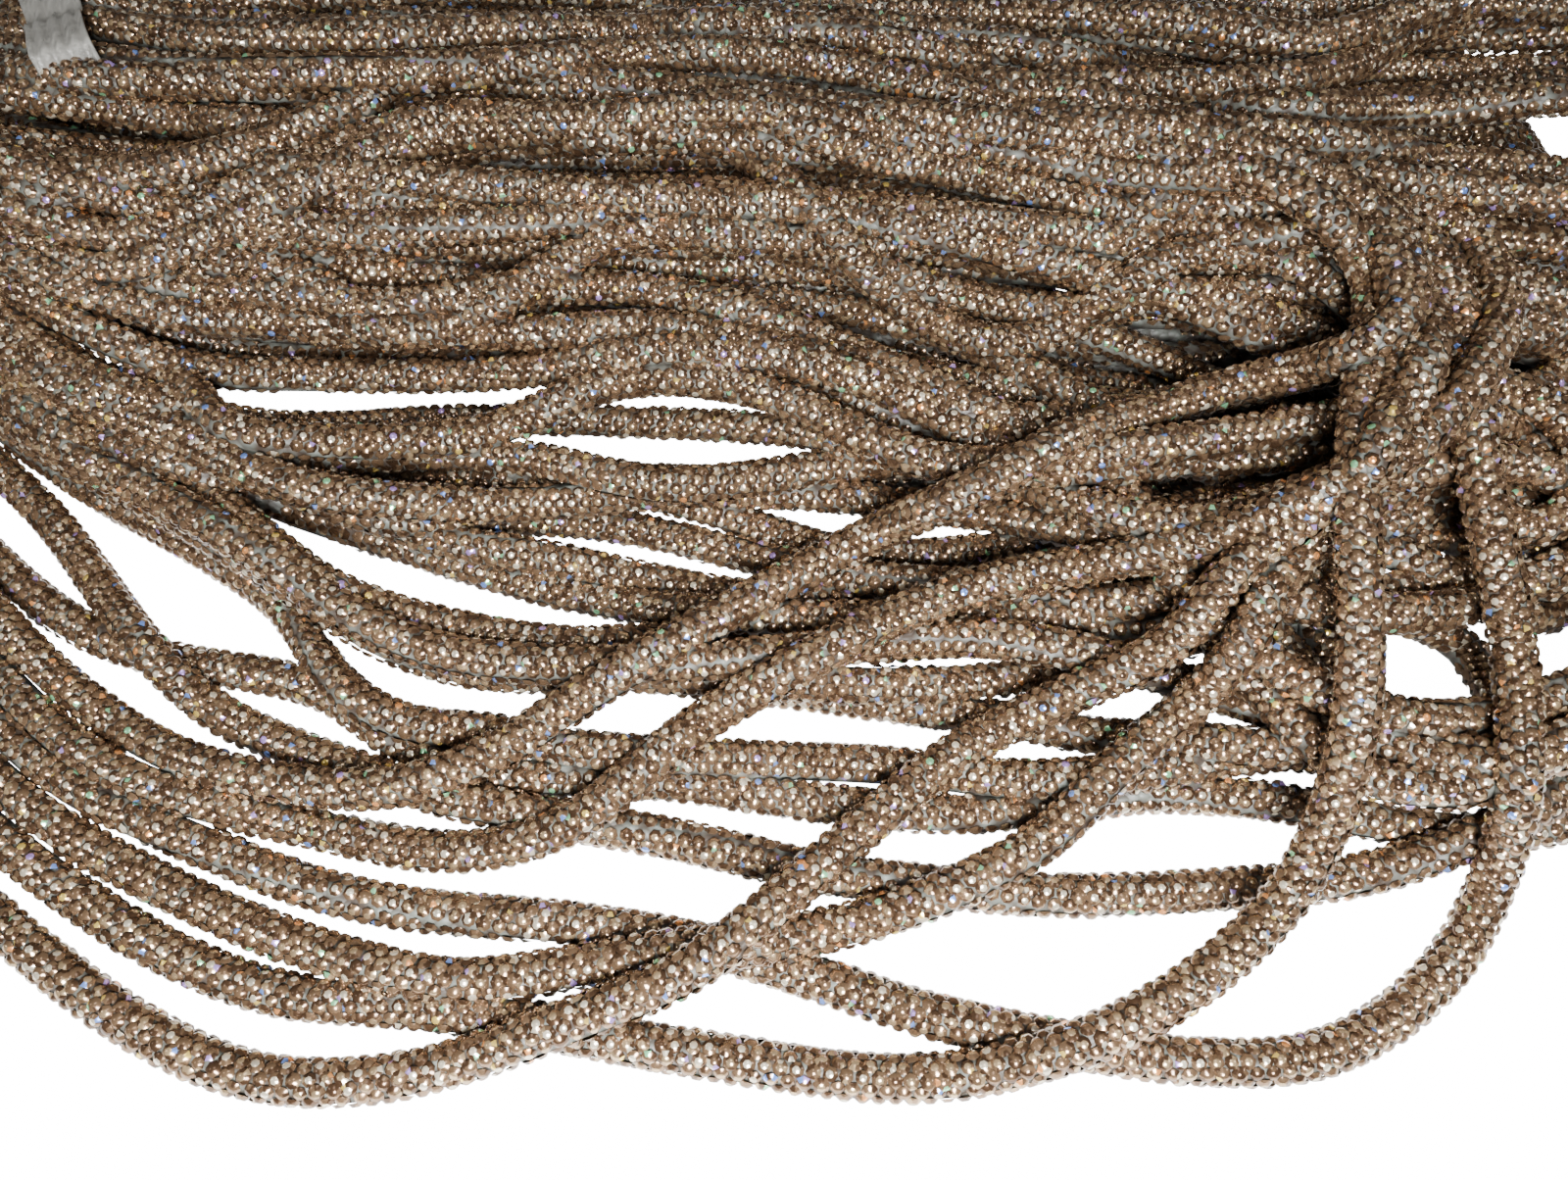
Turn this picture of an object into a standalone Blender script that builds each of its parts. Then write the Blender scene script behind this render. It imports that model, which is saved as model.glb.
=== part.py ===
"""A loose hank of round rhinestone cord, held at its back by a plastic tie.

The hank is one long cord in oval turns that lie over each other. The front of each turn is spread out
in low arcs, and the back of all turns is one thick bundle. Units are metres, +Z up. The origin is
on the surface that the hank lies on, under the middle of its box.
"""
import math
from typing import NamedTuple

import bmesh
import bpy
import numpy as np
from mathutils import Matrix

MM = 0.001

# The cord
CORD_DIAMETER = 6.0
CORD_RADIUS = CORD_DIAMETER / 2
FLAT_DEPTH = 0.7
FLAT_MARGIN = 0.3

# Where the routes below were read from: a low viewpoint in front of the hank
EYE_HEIGHT = 158.0
READING_HEIGHT = 3.0
ORIGIN_ACROSS = -11.3
ORIGIN_AWAY = 130.0


class Pass(NamedTuple):
    """One pass of the cord over the front or the back, as points (across, away, height) in mm."""

    name: str
    points: tuple


# Fronts of the turns, left to right, in the order in which they lie on each other
FRONTS = (
    Pass("low far straight", ((-140, 110, 3), (-107, 84, 3), (-90, 77.5, 3), (-73, 74.6, 3),
                              (-64, 71.5, 3), (-53, 63.5, 3), (-42, 60, 3), (-15, 58.8, 3), (0, 56.5, 3),
                              (15, 54.5, 3), (33, 54.5, 3), (50, 57.2, 3), (67, 56, 3), (92, 51.5, 3),
                              (112, 55, 3))),
    Pass("low near straight", ((-140, 123, 3), (-116, 103, 3), (-104.6, 91, 3), (-94.6, 80, 3),
                               (-81.5, 69.4, 3), (-69, 63.7, 3), (-55, 59, 3), (-42, 55.5, 3),
                               (-28, 53, 3), (-11, 49.8, 3), (3, 46.3, 3), (19, 44.2, 3), (36, 42.9, 3),
                               (58, 43.7, 3), (76, 45.5, 3), (91, 50, 3), (108, 58, 3))),
    Pass("steep left", ((-145, 133, 3), (-125, 118, 3), (-110, 108, 3), (-95, 99.5, 3), (-84, 93, 3),
                        (-75, 86.5, 3), (-70, 80.5, 3), (-65, 74, 3), (-55, 67.7, 3), (-41, 66, 3),
                        (-28, 63.4, 3), (-7, 62, 3), (15, 61, 3), (32, 59, 3), (48, 60, 3), (75, 64, 3),
                        (105, 66, 3))),
    Pass("middle far", ((-145, 137, 3), (-125, 121.5, 3), (-112, 113.5, 3), (-100, 109, 3), (-85, 99, 3),
                        (-72, 89.5, 3), (-59, 83, 3), (-49, 79.5, 3), (-25, 76, 3), (0, 73, 3),
                        (19, 70, 3), (36, 67.3, 3), (44, 65.5, 3), (56, 65, 3), (75, 63, 3),
                        (105, 61, 3))),
    Pass("middle near", ((-145, 135, 3), (-125, 120, 3), (-112, 112, 3), (-100, 105.5, 3), (-85, 97, 3),
                         (-76, 91, 3), (-66, 84.5, 3), (-58, 80, 3), (-49, 76.8, 3), (-38, 75.2, 3),
                         (-20, 75.5, 3), (0, 74.2, 3), (20, 73.6, 3), (41, 76, 3), (60, 81, 6),
                         (85, 86, 8), (110, 90, 8))),
    Pass("middle rise", ((-145, 139, 4), (-125, 123.5, 4), (-112, 115.5, 4), (-100, 112.5, 4),
                         (-85, 102, 3), (-76, 94.5, 3), (-69, 89.8, 3), (-60, 86, 3), (-50, 83, 3),
                         (-41, 81.2, 3), (-29, 79.8, 3), (-14, 81.5, 3), (0, 82.8, 3), (23, 81.2, 3),
                         (50, 82, 3), (72, 86, 6), (110, 94, 9))),
    Pass("upper low", ((-145, 141, 5), (-125, 125, 5), (-112, 118, 4), (-90, 110, 4), (-80, 105, 3),
                       (-66, 99.7, 3), (-50, 94.2, 3), (-41.5, 91.2, 3), (-29, 88, 3), (-18, 86, 3),
                       (5, 84.5, 3), (30, 84.8, 3), (48, 85, 3), (70, 90, 8), (110, 102, 12))),
    Pass("upper middle", ((-145, 143, 6), (-125, 127, 6), (-112, 120.5, 5), (-93, 116, 5), (-80, 109, 4),
                          (-64, 102.5, 3), (-50, 97.7, 3), (-36, 95, 3), (-20, 91, 3), (-5, 88, 3),
                          (15, 88, 3), (35, 87.5, 3), (55, 88, 5), (80, 96, 12), (110, 108, 14))),
    Pass("upper high", ((-145, 145, 7), (-125, 129, 7), (-112, 122.5, 6), (-97, 121, 6), (-85, 112, 5),
                        (-72, 105.5, 4), (-60, 102.2, 3), (-46, 102.3, 3), (-33, 102, 3), (-20, 99.7, 3),
                        (-10, 96.8, 3), (2, 93.5, 3), (20, 90.5, 3), (40, 90, 4), (65, 96, 10),
                        (110, 112, 16))),
    Pass("deep 1", ((-155, 158, 6), (-139.8, 152.1, 5), (-119.7, 148.8, 4), (-101.6, 146, 4),
                    (-85.7, 144.1, 4), (-64.7, 141, 4), (-40.7, 139.2, 4), (-16.9, 138.7, 4),
                    (8.4, 135.9, 4), (24.9, 131.3, 4), (41.1, 127.5, 4), (57.2, 124.6, 4),
                    (72.8, 120.9, 4), (87.4, 113.7, 4), (99.1, 104.2, 4), (106.2, 96.5, 4),
                    (114.7, 89.8, 4))),
    Pass("deep 2", ((-155, 146, 4), (-133.8, 133.9, 3), (-114.8, 126.2, 3), (-96.8, 119.7, 3),
                    (-80, 116.7, 3), (-63.8, 115.3, 3), (-47.6, 112.9, 3), (-31.5, 110.6, 3),
                    (-15.7, 109.4, 3), (0, 109.4, 3), (15.7, 109.4, 3), (31.4, 109.4, 3), (47.1, 109.3, 3),
                    (62.6, 107.9, 3), (73.9, 101.9, 3), (79.3, 91.6, 3), (79.2, 79.8, 3), (78.8, 68.8, 3),
                    (85, 61.3, 3), (96.5, 58.4, 3))),
    Pass("deep 3", ((-145, 136, 3), (-125, 121, 3), (-112, 113, 3), (-100, 107, 3), (-85, 98.5, 3),
                    (-76, 92.5, 3), (-66, 86, 3), (-58, 81.5, 3), (-49, 78.5, 3), (-38, 77, 3),
                    (-20, 77, 3), (0, 78.5, 3), (15, 80.5, 3), (29, 81.4, 3), (43, 79, 3), (55.7, 75, 3),
                    (67.5, 70, 3), (80.7, 66.1, 3), (93.8, 63.5, 3), (106, 62, 3))),
    Pass("falling 1", ((-150, 162, 9), (-120, 146, 9), (-100, 139, 9), (-80, 135, 8), (-50, 134, 8),
                       (-25, 132, 8), (-5, 128, 7), (16.2, 121.7, 6), (28.6, 113.7, 5), (43.3, 103.2, 4),
                       (53.1, 96.5, 3), (59.3, 88.1, 3), (65.1, 79.8, 3), (70.6, 71.1, 3), (75.2, 63.5, 3),
                       (84.2, 58.4, 3), (96.5, 58.4, 3))),
    Pass("falling 2", ((-150, 165, 11), (-120, 150, 11), (-95, 143, 10), (-60, 141, 10), (-30, 139, 9),
                       (0, 133, 8), (21.1, 121.7, 7), (36.6, 114.7, 6), (49.9, 107, 5), (59.5, 98.7, 5),
                       (66.3, 89.8, 5), (72.7, 81.4, 5), (77.4, 73.4, 4), (82.7, 66.1, 3), (91.9, 61.6, 3),
                       (104.4, 62, 3))),
    Pass("falling 3", ((-150, 168, 14), (-120, 158, 14), (-90, 152, 13), (-60, 148, 12),
                       (-34.2, 143.2, 11), (-6.8, 139.9, 10), (16.7, 132.2, 8), (34.1, 122.7, 7),
                       (49, 111.8, 6), (61.5, 101.4, 5), (73.5, 92.4, 5), (85.9, 87.8, 5), (94.6, 84.4, 4),
                       (100.3, 80.1, 3), (102.4, 73.7, 3), (104.5, 67.6, 3), (109.6, 63.1, 3))),
    Pass("falling 4", ((-150, 172, 16), (-110, 161, 16), (-70, 155, 14), (-27.8, 150.2, 13),
                       (0, 147.8, 12), (22.2, 143.2, 11), (40.1, 133.3, 10), (56.7, 121.3, 8),
                       (72.3, 109.4, 7), (87.2, 99.6, 6), (101.8, 91.6, 4), (111.5, 84.4, 3))),
    Pass("falling 5", ((-150, 178, 18), (-110, 168, 18), (-70, 162, 17), (-40, 160, 16),
                       (-17.7, 157.3, 15), (8.8, 156.1, 14), (31.3, 150.2, 13), (51.2, 142.1, 12),
                       (68.3, 132.2, 11), (82.7, 121.7, 10), (95.3, 113.7, 9), (109.5, 107.9, 8),
                       (120.8, 104.2, 7))),
    Pass("falling 6", ((-150, 184, 20), (-110, 176, 20), (-70, 171, 20), (-40, 168, 19), (-7.2, 164.8, 18),
                       (21.5, 162.3, 17), (46.1, 158.6, 16), (66.1, 150.2, 15), (83.2, 139.9, 13),
                       (95.8, 129, 12), (109.7, 119.7, 11), (122.9, 115.7, 10))),
    Pass("falling 7", ((-155, 190, 22), (-110, 184, 22), (-60, 178, 22), (-20, 174, 21), (18.3, 171.1, 20),
                       (43.4, 166.8, 19), (64.5, 162.8, 18), (81.2, 156.1, 17), (94.9, 146.7, 16),
                       (107.4, 135.4, 15), (120, 126.9, 14), (130.4, 123.8, 12))),
    Pass("crossing low", ((-145, 149, 8), (-125, 132, 8), (-112, 124.5, 7), (-97, 119, 6), (-85, 113, 5),
                          (-73, 110.5, 4), (-60, 109, 4), (-45, 109.7, 4), (-30, 109, 4), (-20, 107, 3),
                          (-9, 103.3, 3), (2, 98, 3), (12, 95.5, 3), (28, 96, 4), (50, 101, 8),
                          (80, 108, 14), (112, 118, 18))),
    Pass("crossing high", ((-145, 147, 8), (-125, 130.5, 8), (-112, 123.5, 6), (-90, 113.5, 5),
                           (-75, 107.7, 5), (-60, 105.5, 4), (-45, 105, 4), (-30, 106.5, 4), (-15, 108, 3),
                           (0, 107.5, 3), (10, 106.6, 3), (22, 105, 4), (36, 102.5, 5), (52, 99.5, 7),
                           (75, 103, 12), (112, 114, 17))),
    Pass("long dip", ((-145, 151, 9), (-125, 133.5, 9), (-112, 125.5, 8), (-100, 126, 7), (-90, 118.5, 6),
                      (-75, 114.8, 5), (-60, 115, 5), (-48, 115, 4), (-38, 113.3, 4), (-30, 111, 4),
                      (-20, 108.8, 4), (-10, 109.3, 4), (0, 111, 4), (10, 113, 5), (22, 113.5, 6),
                      (34, 111, 8), (48, 105, 10), (62, 101, 11), (85, 108, 16), (112, 122, 20))),
    Pass("under gap", ((-145, 153, 10), (-125, 135.5, 10), (-112, 128, 9), (-100, 124.5, 7), (-90, 121, 6),
                       (-80, 120, 5), (-70, 120.2, 5), (-58, 121.5, 5), (-45, 122, 5), (-30, 121.7, 5),
                       (-15, 121, 5), (0, 120, 5), (12, 117.5, 6), (28, 113, 8), (45, 112, 10),
                       (65, 114, 14), (88, 116, 18), (114, 126, 21))),
    Pass("small arch", ((-145, 155, 11), (-125, 137.5, 11), (-112, 129, 10), (-103, 131, 9), (-92, 120, 8),
                        (-75, 117.3, 7), (-60, 117.5, 7), (-50, 119, 7), (-43, 122, 8), (-37, 126.5, 8),
                        (-29, 130, 9), (-19, 131.2, 9), (-9, 130, 9), (-1, 127, 9), (7, 122.5, 9),
                        (15, 117.5, 9), (24, 113.5, 9), (34, 112.5, 10), (50, 115, 13), (70, 118, 17),
                        (90, 122, 20), (116, 130, 22))),
    Pass("right loop", ((-140, 90, 3), (-100, 59, 3), (-81, 50.7, 3), (-64, 44.4, 3), (-49, 41.1, 3),
                        (-29, 39.4, 3), (-13, 37, 3), (0, 33.7, 3), (17, 28.1, 3), (34, 24.6, 3),
                        (50, 22.4, 3), (67, 23.3, 3), (84, 32.9, 3), (96, 47.7, 6), (103.5, 63, 14),
                        (108.7, 86, 23), (112, 112, 30), (118, 140, 34), (119, 158, 34), (108, 175, 32))),
    Pass("big loop", ((-140, 74, 3), (-100, 46.8, 3), (-81, 36.3, 3), (-64, 30.4, 3), (-47, 29, 3),
                      (-30, 26.5, 3), (-11, 23.3, 3), (15, 20.3, 3), (32, 22.9, 5), (50, 30.3, 8),
                      (67, 43.3, 11), (77, 58, 17), (83, 72, 24), (87.5, 90, 30), (92.5, 112, 34),
                      (99, 133, 36), (105.5, 154, 36), (98, 175, 33))),
    Pass("right rise", ((-140, 82, 3), (-100, 53, 3), (-81, 43.6, 3), (-64, 37, 3), (-51, 33.3, 3),
                        (-42, 31.8, 3), (-34, 32.5, 3), (-16, 35.5, 3), (0, 37.2, 3), (19, 42.4, 3),
                        (36, 51, 5), (46, 60.7, 8), (58, 70.3, 11), (68, 80, 14), (74, 90, 17),
                        (85, 101, 22), (98, 118, 27), (107, 142, 30), (110, 160, 30), (100, 178, 30))),
    Pass("front sweep", ((-140, 66, 3), (-101, 38.5, 3), (-81, 26.5, 3), (-64, 20.4, 3), (-46, 20.8, 3),
                         (-29, 26.3, 3), (-11, 34, 4), (6, 48, 4), (24, 63, 5), (41, 72, 7), (57, 80, 10),
                         (70, 94, 15), (88, 107, 21), (103, 122, 27), (113, 145, 30), (114, 162, 30),
                         (104, 177, 30))),
    Pass("upper rise", ((-140, 97, 3), (-100, 64, 3), (-85, 57.2, 3), (-64, 52.2, 3), (-47, 48.8, 3),
                        (-38, 49.4, 3), (-29, 52.5, 4), (-20.7, 59.8, 5), (-12, 67.7, 5), (0, 75.5, 5),
                        (15, 84.2, 6), (32, 91, 8), (50, 94.6, 10), (67, 99, 14), (85, 107, 20),
                        (102, 116, 25), (118, 132, 28), (127, 150, 28), (124, 168, 28))),
    Pass("long diagonal", ((-140, 104, 4), (-108, 76.3, 4), (-99, 70, 4), (-85, 62.3, 4), (-73, 59.1, 5),
                           (-60, 57.6, 6), (-50, 58.7, 7), (-38, 64.8, 8), (-28.5, 72.4, 9),
                           (-12, 83.3, 9), (0, 91, 9), (16.5, 101, 11), (35, 110.5, 15), (45, 117.5, 19),
                           (56, 121.7, 21), (75, 129, 24), (92, 134.4, 27), (105, 141, 29), (112, 153, 30),
                           (109, 166, 30))),
)

# Backs of the turns, left to right: each row carries on the front in the same row above.
# Their height is what the bundle gives them, so the third column is only an extra lift.
BACKS = (
    Pass("back 20", ((-165, 252, 0), (-130, 247, 0), (-95, 250, 0), (-60, 254, 0), (0, 256, 0),
                     (40, 253, 0), (80, 249, 0), (115, 246, 0), (145, 248, 0), (174, 250, 0))),
    Pass("back 19", ((-165, 246, 0), (-130, 241, 0), (-95, 243, 0), (-60, 246, 0), (0, 248, 0),
                     (40, 244, 0), (80, 239, 0), (115, 234.1, 0), (145, 240, 0), (174, 240, 0))),
    Pass("back 18", ((-165, 240, 0), (-130, 235, 0), (-95, 236, 0), (-60, 239, 0), (0, 240, 0),
                     (40, 235, 0), (80, 229, 0), (115, 221.1, 0), (145, 220, 0), (174, 221, 0))),
    Pass("back 17", ((-165, 234, 0), (-130, 229, 0), (-95, 230, 0), (-60, 233, 0), (0, 232, 0),
                     (40, 226, 0), (80, 219, 0), (110, 212.2, 0), (140, 213, 0), (172, 214, 0))),
    Pass("back 14", ((-165, 236, 0), (-120, 232, 0), (-80, 229, 0), (-40, 228, 0), (0, 226, 0),
                     (40, 218, 0), (75, 211, 0), (105, 205.6, 0), (135, 206, 0), (170, 207, 0))),
    Pass("back 8", ((-165, 199, 0), (-140, 191, 0), (-110, 186, 0), (-80, 182, 0), (-50, 185, 0),
                    (-20, 186, 0), (5, 185, 0), (30, 178, 0), (60, 170, 0), (90, 168, 0), (140, 155, 0))),
    Pass("back 7", ((-165, 194, 0), (-140, 184, 0), (-110, 177, 0), (-80, 173, 0), (-50, 177, 0),
                    (-20, 178, 0), (10, 177, 0), (40, 168, 0), (65, 160, 0), (90, 163, 0), (140, 148, 0))),
    Pass("back 6", ((-160, 188, 0), (-130, 178, 0), (-100, 170, 0), (-75, 166, 0), (-50, 168, 0),
                    (-20, 171, 0), (10, 170, 0), (40, 161, 0), (70, 152, 0), (95, 156, 0),
                    (135, 142.5, 0))),
    Pass("back 5", ((-155, 182, 0), (-125, 168, 0), (-100, 163, 0), (-80, 156, 0), (-60, 155, 0),
                    (-30, 158, 0), (0, 152, 0), (25, 156, 0), (50, 155, 0), (75, 145, 0), (100, 146, 0),
                    (135, 134.5, 0))),
    Pass("back 28", ((-165, 226, 0), (-125, 221, 0), (-85, 219, 0), (-45, 220, 0), (0, 219, 0),
                     (40, 213, 0), (80, 209, 0), (110, 208.9, 0), (140, 225, 0), (172, 228, 0))),
    Pass("back 29", ((-165, 238, 0), (-125, 234, 0), (-85, 235, 0), (-45, 237, 0), (0, 236, 0),
                     (40, 231, 0), (80, 225, 0), (110, 217.9, 0), (140, 233, 0), (172, 234, 0))),
    Pass("back 30", ((-165, 210, 0), (-125, 203, 0), (-85, 199, 0), (-45, 200, 0), (0, 198, 0),
                     (40, 191, 0), (80, 184, 0), (110, 182, 0), (140, 176, 0), (160, 172, 0))),
    Pass("back 21", ((-165, 232, 0), (-120, 228, 0), (-80, 226, 0), (-40, 224, 0), (0, 222, 0),
                     (40, 214, 0), (75, 206, 0), (100, 203, 0), (130, 200, 0), (168, 200, 0))),
    Pass("back 22", ((-165, 220, 0), (-120, 214, 0), (-80, 210, 0), (-40, 210, 0), (0, 208, 0),
                     (40, 202, 0), (75, 194, 0), (100, 191, 0), (125, 184.5, 0), (160, 176, 0))),
    Pass("back 23", ((-165, 213, 0), (-125, 206, 0), (-90, 202, 0), (-50, 203, 0), (-10, 203, 0),
                     (30, 196, 0), (65, 187, 0), (95, 184, 0), (125, 177.5, 0), (158, 169, 0))),
    Pass("back 24", ((-165, 203, 0), (-125, 196, 0), (-90, 192, 0), (-50, 197, 0), (-10, 196, 0),
                     (30, 190, 0), (65, 181, 0), (95, 178, 0), (125, 171.5, 0), (152, 165, 0))),
    Pass("back 25", ((-165, 168, 0), (-129, 150, 0), (-96, 163, 0), (-62, 187, 0), (-20, 190, 0),
                     (20, 184, 0), (60, 175, 0), (92, 171, 0), (120, 166, 0), (148, 160, 0))),
    Pass("back 26", ((-160, 191, 0), (-125, 181, 0), (-95, 176, 0), (-60, 176, 0), (-20, 176, 0),
                     (20, 170, 0), (50, 162, 0), (80, 158, 0), (105, 159.5, 0), (140, 148, 0))),
    Pass("back 27", ((-155, 185, 0), (-125, 174, 0), (-95, 168, 0), (-60, 163, 0), (-20, 163, 0),
                     (15, 163, 0), (45, 158, 0), (72, 150, 0), (100, 151, 0), (136, 138, 0))),
    Pass("back 4", ((-150, 176, 0), (-125, 163, 0), (-105, 157, 0), (-88, 156, 0), (-66, 140, 0),
                    (-53, 146, 0), (-43, 156, 0), (-28, 166, 0), (-5, 163, 0), (15, 157, 0), (30, 150, 0),
                    (50, 146, 0), (75, 150, 0), (95, 140, 0), (130, 146, 0))),
    Pass("back 3", ((-150, 170, 0), (-125, 157, 0), (-105, 151, 0), (-88, 150, 0), (-70, 147, 0),
                    (-50, 151, 0), (-35, 152, 0), (-15, 149, 0), (0, 143, 0), (20, 132, 0), (38, 121, 0),
                    (50, 112, 0), (60, 100, 0), (75, 88, 0), (100, 86, 0), (122, 95, 0))),
    Pass("back 2", ((-150, 164, 0), (-125, 151, 0), (-105, 145, 0), (-90, 144, 0), (-75, 141.5, 0),
                    (-62, 142, 0), (-45, 141, 0), (-20, 142, 0), (0, 137, 0), (20, 127, 0), (33, 117, 0),
                    (50, 106, 0), (60, 92, 0), (70, 78, 0), (90, 68, 0), (112, 72, 0))),
    Pass("over gap", ((-150, 158, 0), (-120, 141, 0), (-107, 135, 0), (-95, 132, 0), (-80, 131.5, 0),
                      (-55, 131.5, 0), (-40, 133, 0), (-25, 137, 0), (-5, 136, 0), (15, 130, 0),
                      (35, 122, 0), (60, 124, 0), (90, 132, 0), (125, 140, 0))),
    Pass("hanging loop", ((-160, 200, 0), (-120, 198, 0), (-80, 195, 0), (-40, 196, 0), (-15, 191, 0),
                          (0, 179, 0), (9, 166, 0), (16, 154, 0), (25, 144, 0), (35, 139, 0), (45, 140, 0),
                          (54, 147, 0), (64, 155, 0), (76, 161, 0), (88, 160, 0), (97, 153, 0),
                          (103, 140, 0), (108, 120, 0), (114, 100, 0))),
    Pass("back 13", ((-165, 229, 0), (-120, 225, 0), (-80, 222, 0), (-40, 221, 0), (0, 219, 0),
                     (35, 212, 0), (65, 204, 0), (95, 200, 0), (125, 195, 0), (165, 193, 0))),
    Pass("back 11", ((-168, 190, 0), (-132, 180, 0), (-102, 188, 0), (-74, 205, 0), (-45, 206, 0),
                     (-15, 207, 0), (15, 201, 0), (40, 195, 0), (65, 188, 0), (90, 183, 0), (120, 180, 0),
                     (155, 169.5, 0))),
    Pass("back 10", ((-168, 182, 0), (-144, 172, 0), (-119, 164, 0), (-98, 180, 0), (-68, 199, 0),
                     (-40, 199, 0), (-10, 200, 0), (15, 193, 0), (40, 186, 0), (65, 181, 0), (90, 178, 0),
                     (115, 175.5, 0), (150, 164, 0))),
    Pass("back 12", ((-165, 222, 0), (-130, 218, 0), (-100, 214, 0), (-70, 212, 0), (-40, 214, 0),
                     (-10, 213, 0), (20, 208, 0), (50, 200, 0), (75, 194, 0), (95, 192, 0), (120, 188, 0),
                     (160, 185, 0))),
    Pass("back 9", ((-166, 178, 0), (-142, 166, 0), (-121, 156, 0), (-99, 170, 0), (-75, 188, 0),
                    (-45, 192, 0), (-15, 193, 0), (10, 189, 0), (35, 182, 0), (60, 176, 0), (88, 172, 0),
                    (110, 171, 0), (145, 159.5, 0))),
    Pass("rising strand", ((-150, 163, 0), (-130, 162, 0), (-112, 167, 0), (-98, 174, 0), (-84, 184, 0),
                           (-75, 193, 0), (-66, 203, 0), (-54, 210, 0), (-38, 210, 0), (-15, 207, 0),
                           (0, 198, 0), (15, 188, 0), (35, 181, 0), (60, 172, 0), (85, 164, 0),
                           (102, 160, 0), (140, 170, 0))),
)

# The bundle's top, as a profile along the reading plane
PILE_NEAR = 122.0
PILE_CREST = 196.0
PILE_BACK = 232.0
PILE_END = 272.0
PILE_LOW = 7.0
PILE_HIGH = 25.0
PILE_RIGHT_FROM = 40.0
PILE_RIGHT_TO = 110.0
PILE_RIGHT_LIFT = 5.0

# How the cord strays sideways and up in the rear of the bundle
STRAY_ASIDE = 3.6
STRAY_UP = 2.6
STRAY_LENGTH = 28.0
STRAY_TURN = 1.7
STRAY_FROM = 178.0
STRAY_TO = 205.0

# The turns' ends, out at both sides
LEFT_REACH = 26.0
LEFT_REACH_SHARE = 0.42
RIGHT_REACH = 12.0
RIGHT_REACH_SHARE = 0.22
BEND_LAYERS = 3
BEND_LAYER_HEIGHT = 5.6
UPRIGHT_FROM = 24
UPRIGHT_TRIM = 90.0

# Short turns that lie low inside the bundle
INNER_TURNS = 8
INNER_LAYERS = 2
INNER_LEFT = -165.0
INNER_RIGHT = 122.0
INNER_STEPS = 9
INNER_NEAR = 150.0
INNER_FAR = 232.0
INNER_SPACING = 5.2
INNER_WAVE = 3.0
INNER_WAVE_LENGTH = 31.0
INNER_WAVE_TURN = 0.35
INNER_REACH = 22.0
INNER_SLANT = 38.0
INNER_SLANT_FROM = -40.0
INNER_SLANT_TO = 60.0

# How passes that cross lift each other
STEP_LENGTH = 4.0
LIFT_REACH = 8.5
SETTLED_SHARE = 0.86
LAYING_ROUNDS = 3
SMOOTHING_ROUNDS = 5

# The solid of the hank
VOXEL = 1.5 * MM
HANK_TRIANGLES = 11400
TUBE_STEP = 6.0

# The tie: a slanting strap over the rear of the bundle, seen from above
TIE_START = (-110.0, 160.8)
TIE_HEADING = (-0.452, 0.892)
TIE_LENGTH = 73.5
TIE_WIDTH = 9.6
TIE_THICKNESS = 0.8
TIE_RISE = 0.4
TIE_ROOM = 1.9
TIE_STEPS = 32
TIE_FOOT = 1.2
TIE_TUCK = 11.0

HANK_COLOUR = (0.42, 0.31, 0.24)
TIE_COLOUR = (0.62, 0.62, 0.58)


def smooth_step(value, low, high):
    """Return 0 below low, 1 above high, and an even rise between."""
    share = np.clip((np.asarray(value, float) - low) / (high - low), 0.0, 1.0)
    return share * share * (3 - 2 * share)


def pile_height(across, away):
    """Return the height of a cord's middle on top of the bundle."""
    rise = PILE_LOW + (PILE_HIGH - PILE_LOW) * smooth_step(away, PILE_NEAR, PILE_CREST)
    fall = (PILE_HIGH - CORD_RADIUS) * smooth_step(away, PILE_BACK, PILE_END)
    right = PILE_RIGHT_LIFT * smooth_step(across, PILE_RIGHT_FROM, PILE_RIGHT_TO)
    return max(float(rise - fall + right * (1 - smooth_step(away, PILE_BACK, PILE_END))), CORD_RADIUS)


def stray(across, away, index):
    """Return how far a cord strays sideways and up in the rear of the bundle."""
    share = float(smooth_step(away, STRAY_FROM, STRAY_TO))
    angle = across / STRAY_LENGTH + STRAY_TURN * index
    return STRAY_ASIDE * share * math.sin(angle), STRAY_UP * share * math.cos(angle)


def bend(start, end, side, reach, height):
    """Return three points of a half oval that turns from start to end, out to one side."""
    middle = ((start[0] + end[0]) / 2, (start[1] + end[1]) / 2)
    half = ((start[0] - middle[0]), (start[1] - middle[1]))
    points = []
    for degrees in (45, 90, 135):
        angle = math.radians(degrees)
        points.append((middle[0] + half[0] * math.cos(angle) + side * reach * math.sin(angle),
                       middle[1] + half[1] * math.cos(angle), height))
    return points


def inner_turn(index):
    """Return a short turn's points: it lies low, all inside the bundle."""
    height = CORD_RADIUS + BEND_LAYER_HEIGHT * (index % INNER_LAYERS)
    places = np.linspace(INNER_LEFT, INNER_RIGHT, INNER_STEPS)
    passes = []
    for away, heading in ((INNER_NEAR + INNER_SPACING * index, 1), (INNER_FAR - INNER_SPACING * index, -1)):
        wave = INNER_WAVE * np.sin(places / INNER_WAVE_LENGTH + INNER_WAVE_TURN * index)
        if heading == 1:
            wave -= INNER_SLANT * smooth_step(places, INNER_SLANT_FROM, INNER_SLANT_TO)
        passes.append([(x, away + shift, height) for x, shift in zip(places, wave)][::heading])
    front, back = passes
    onward = (INNER_LEFT, INNER_NEAR + INNER_SPACING * (index + 1), height)
    if index + 1 == INNER_TURNS:
        onward = FRONTS[0].points[0]
    right = bend(front[-1], back[0], 1, INNER_REACH, height)
    left = bend(back[-1], onward, -1, INNER_REACH, height) + [onward]
    return front + right + back + left


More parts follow.
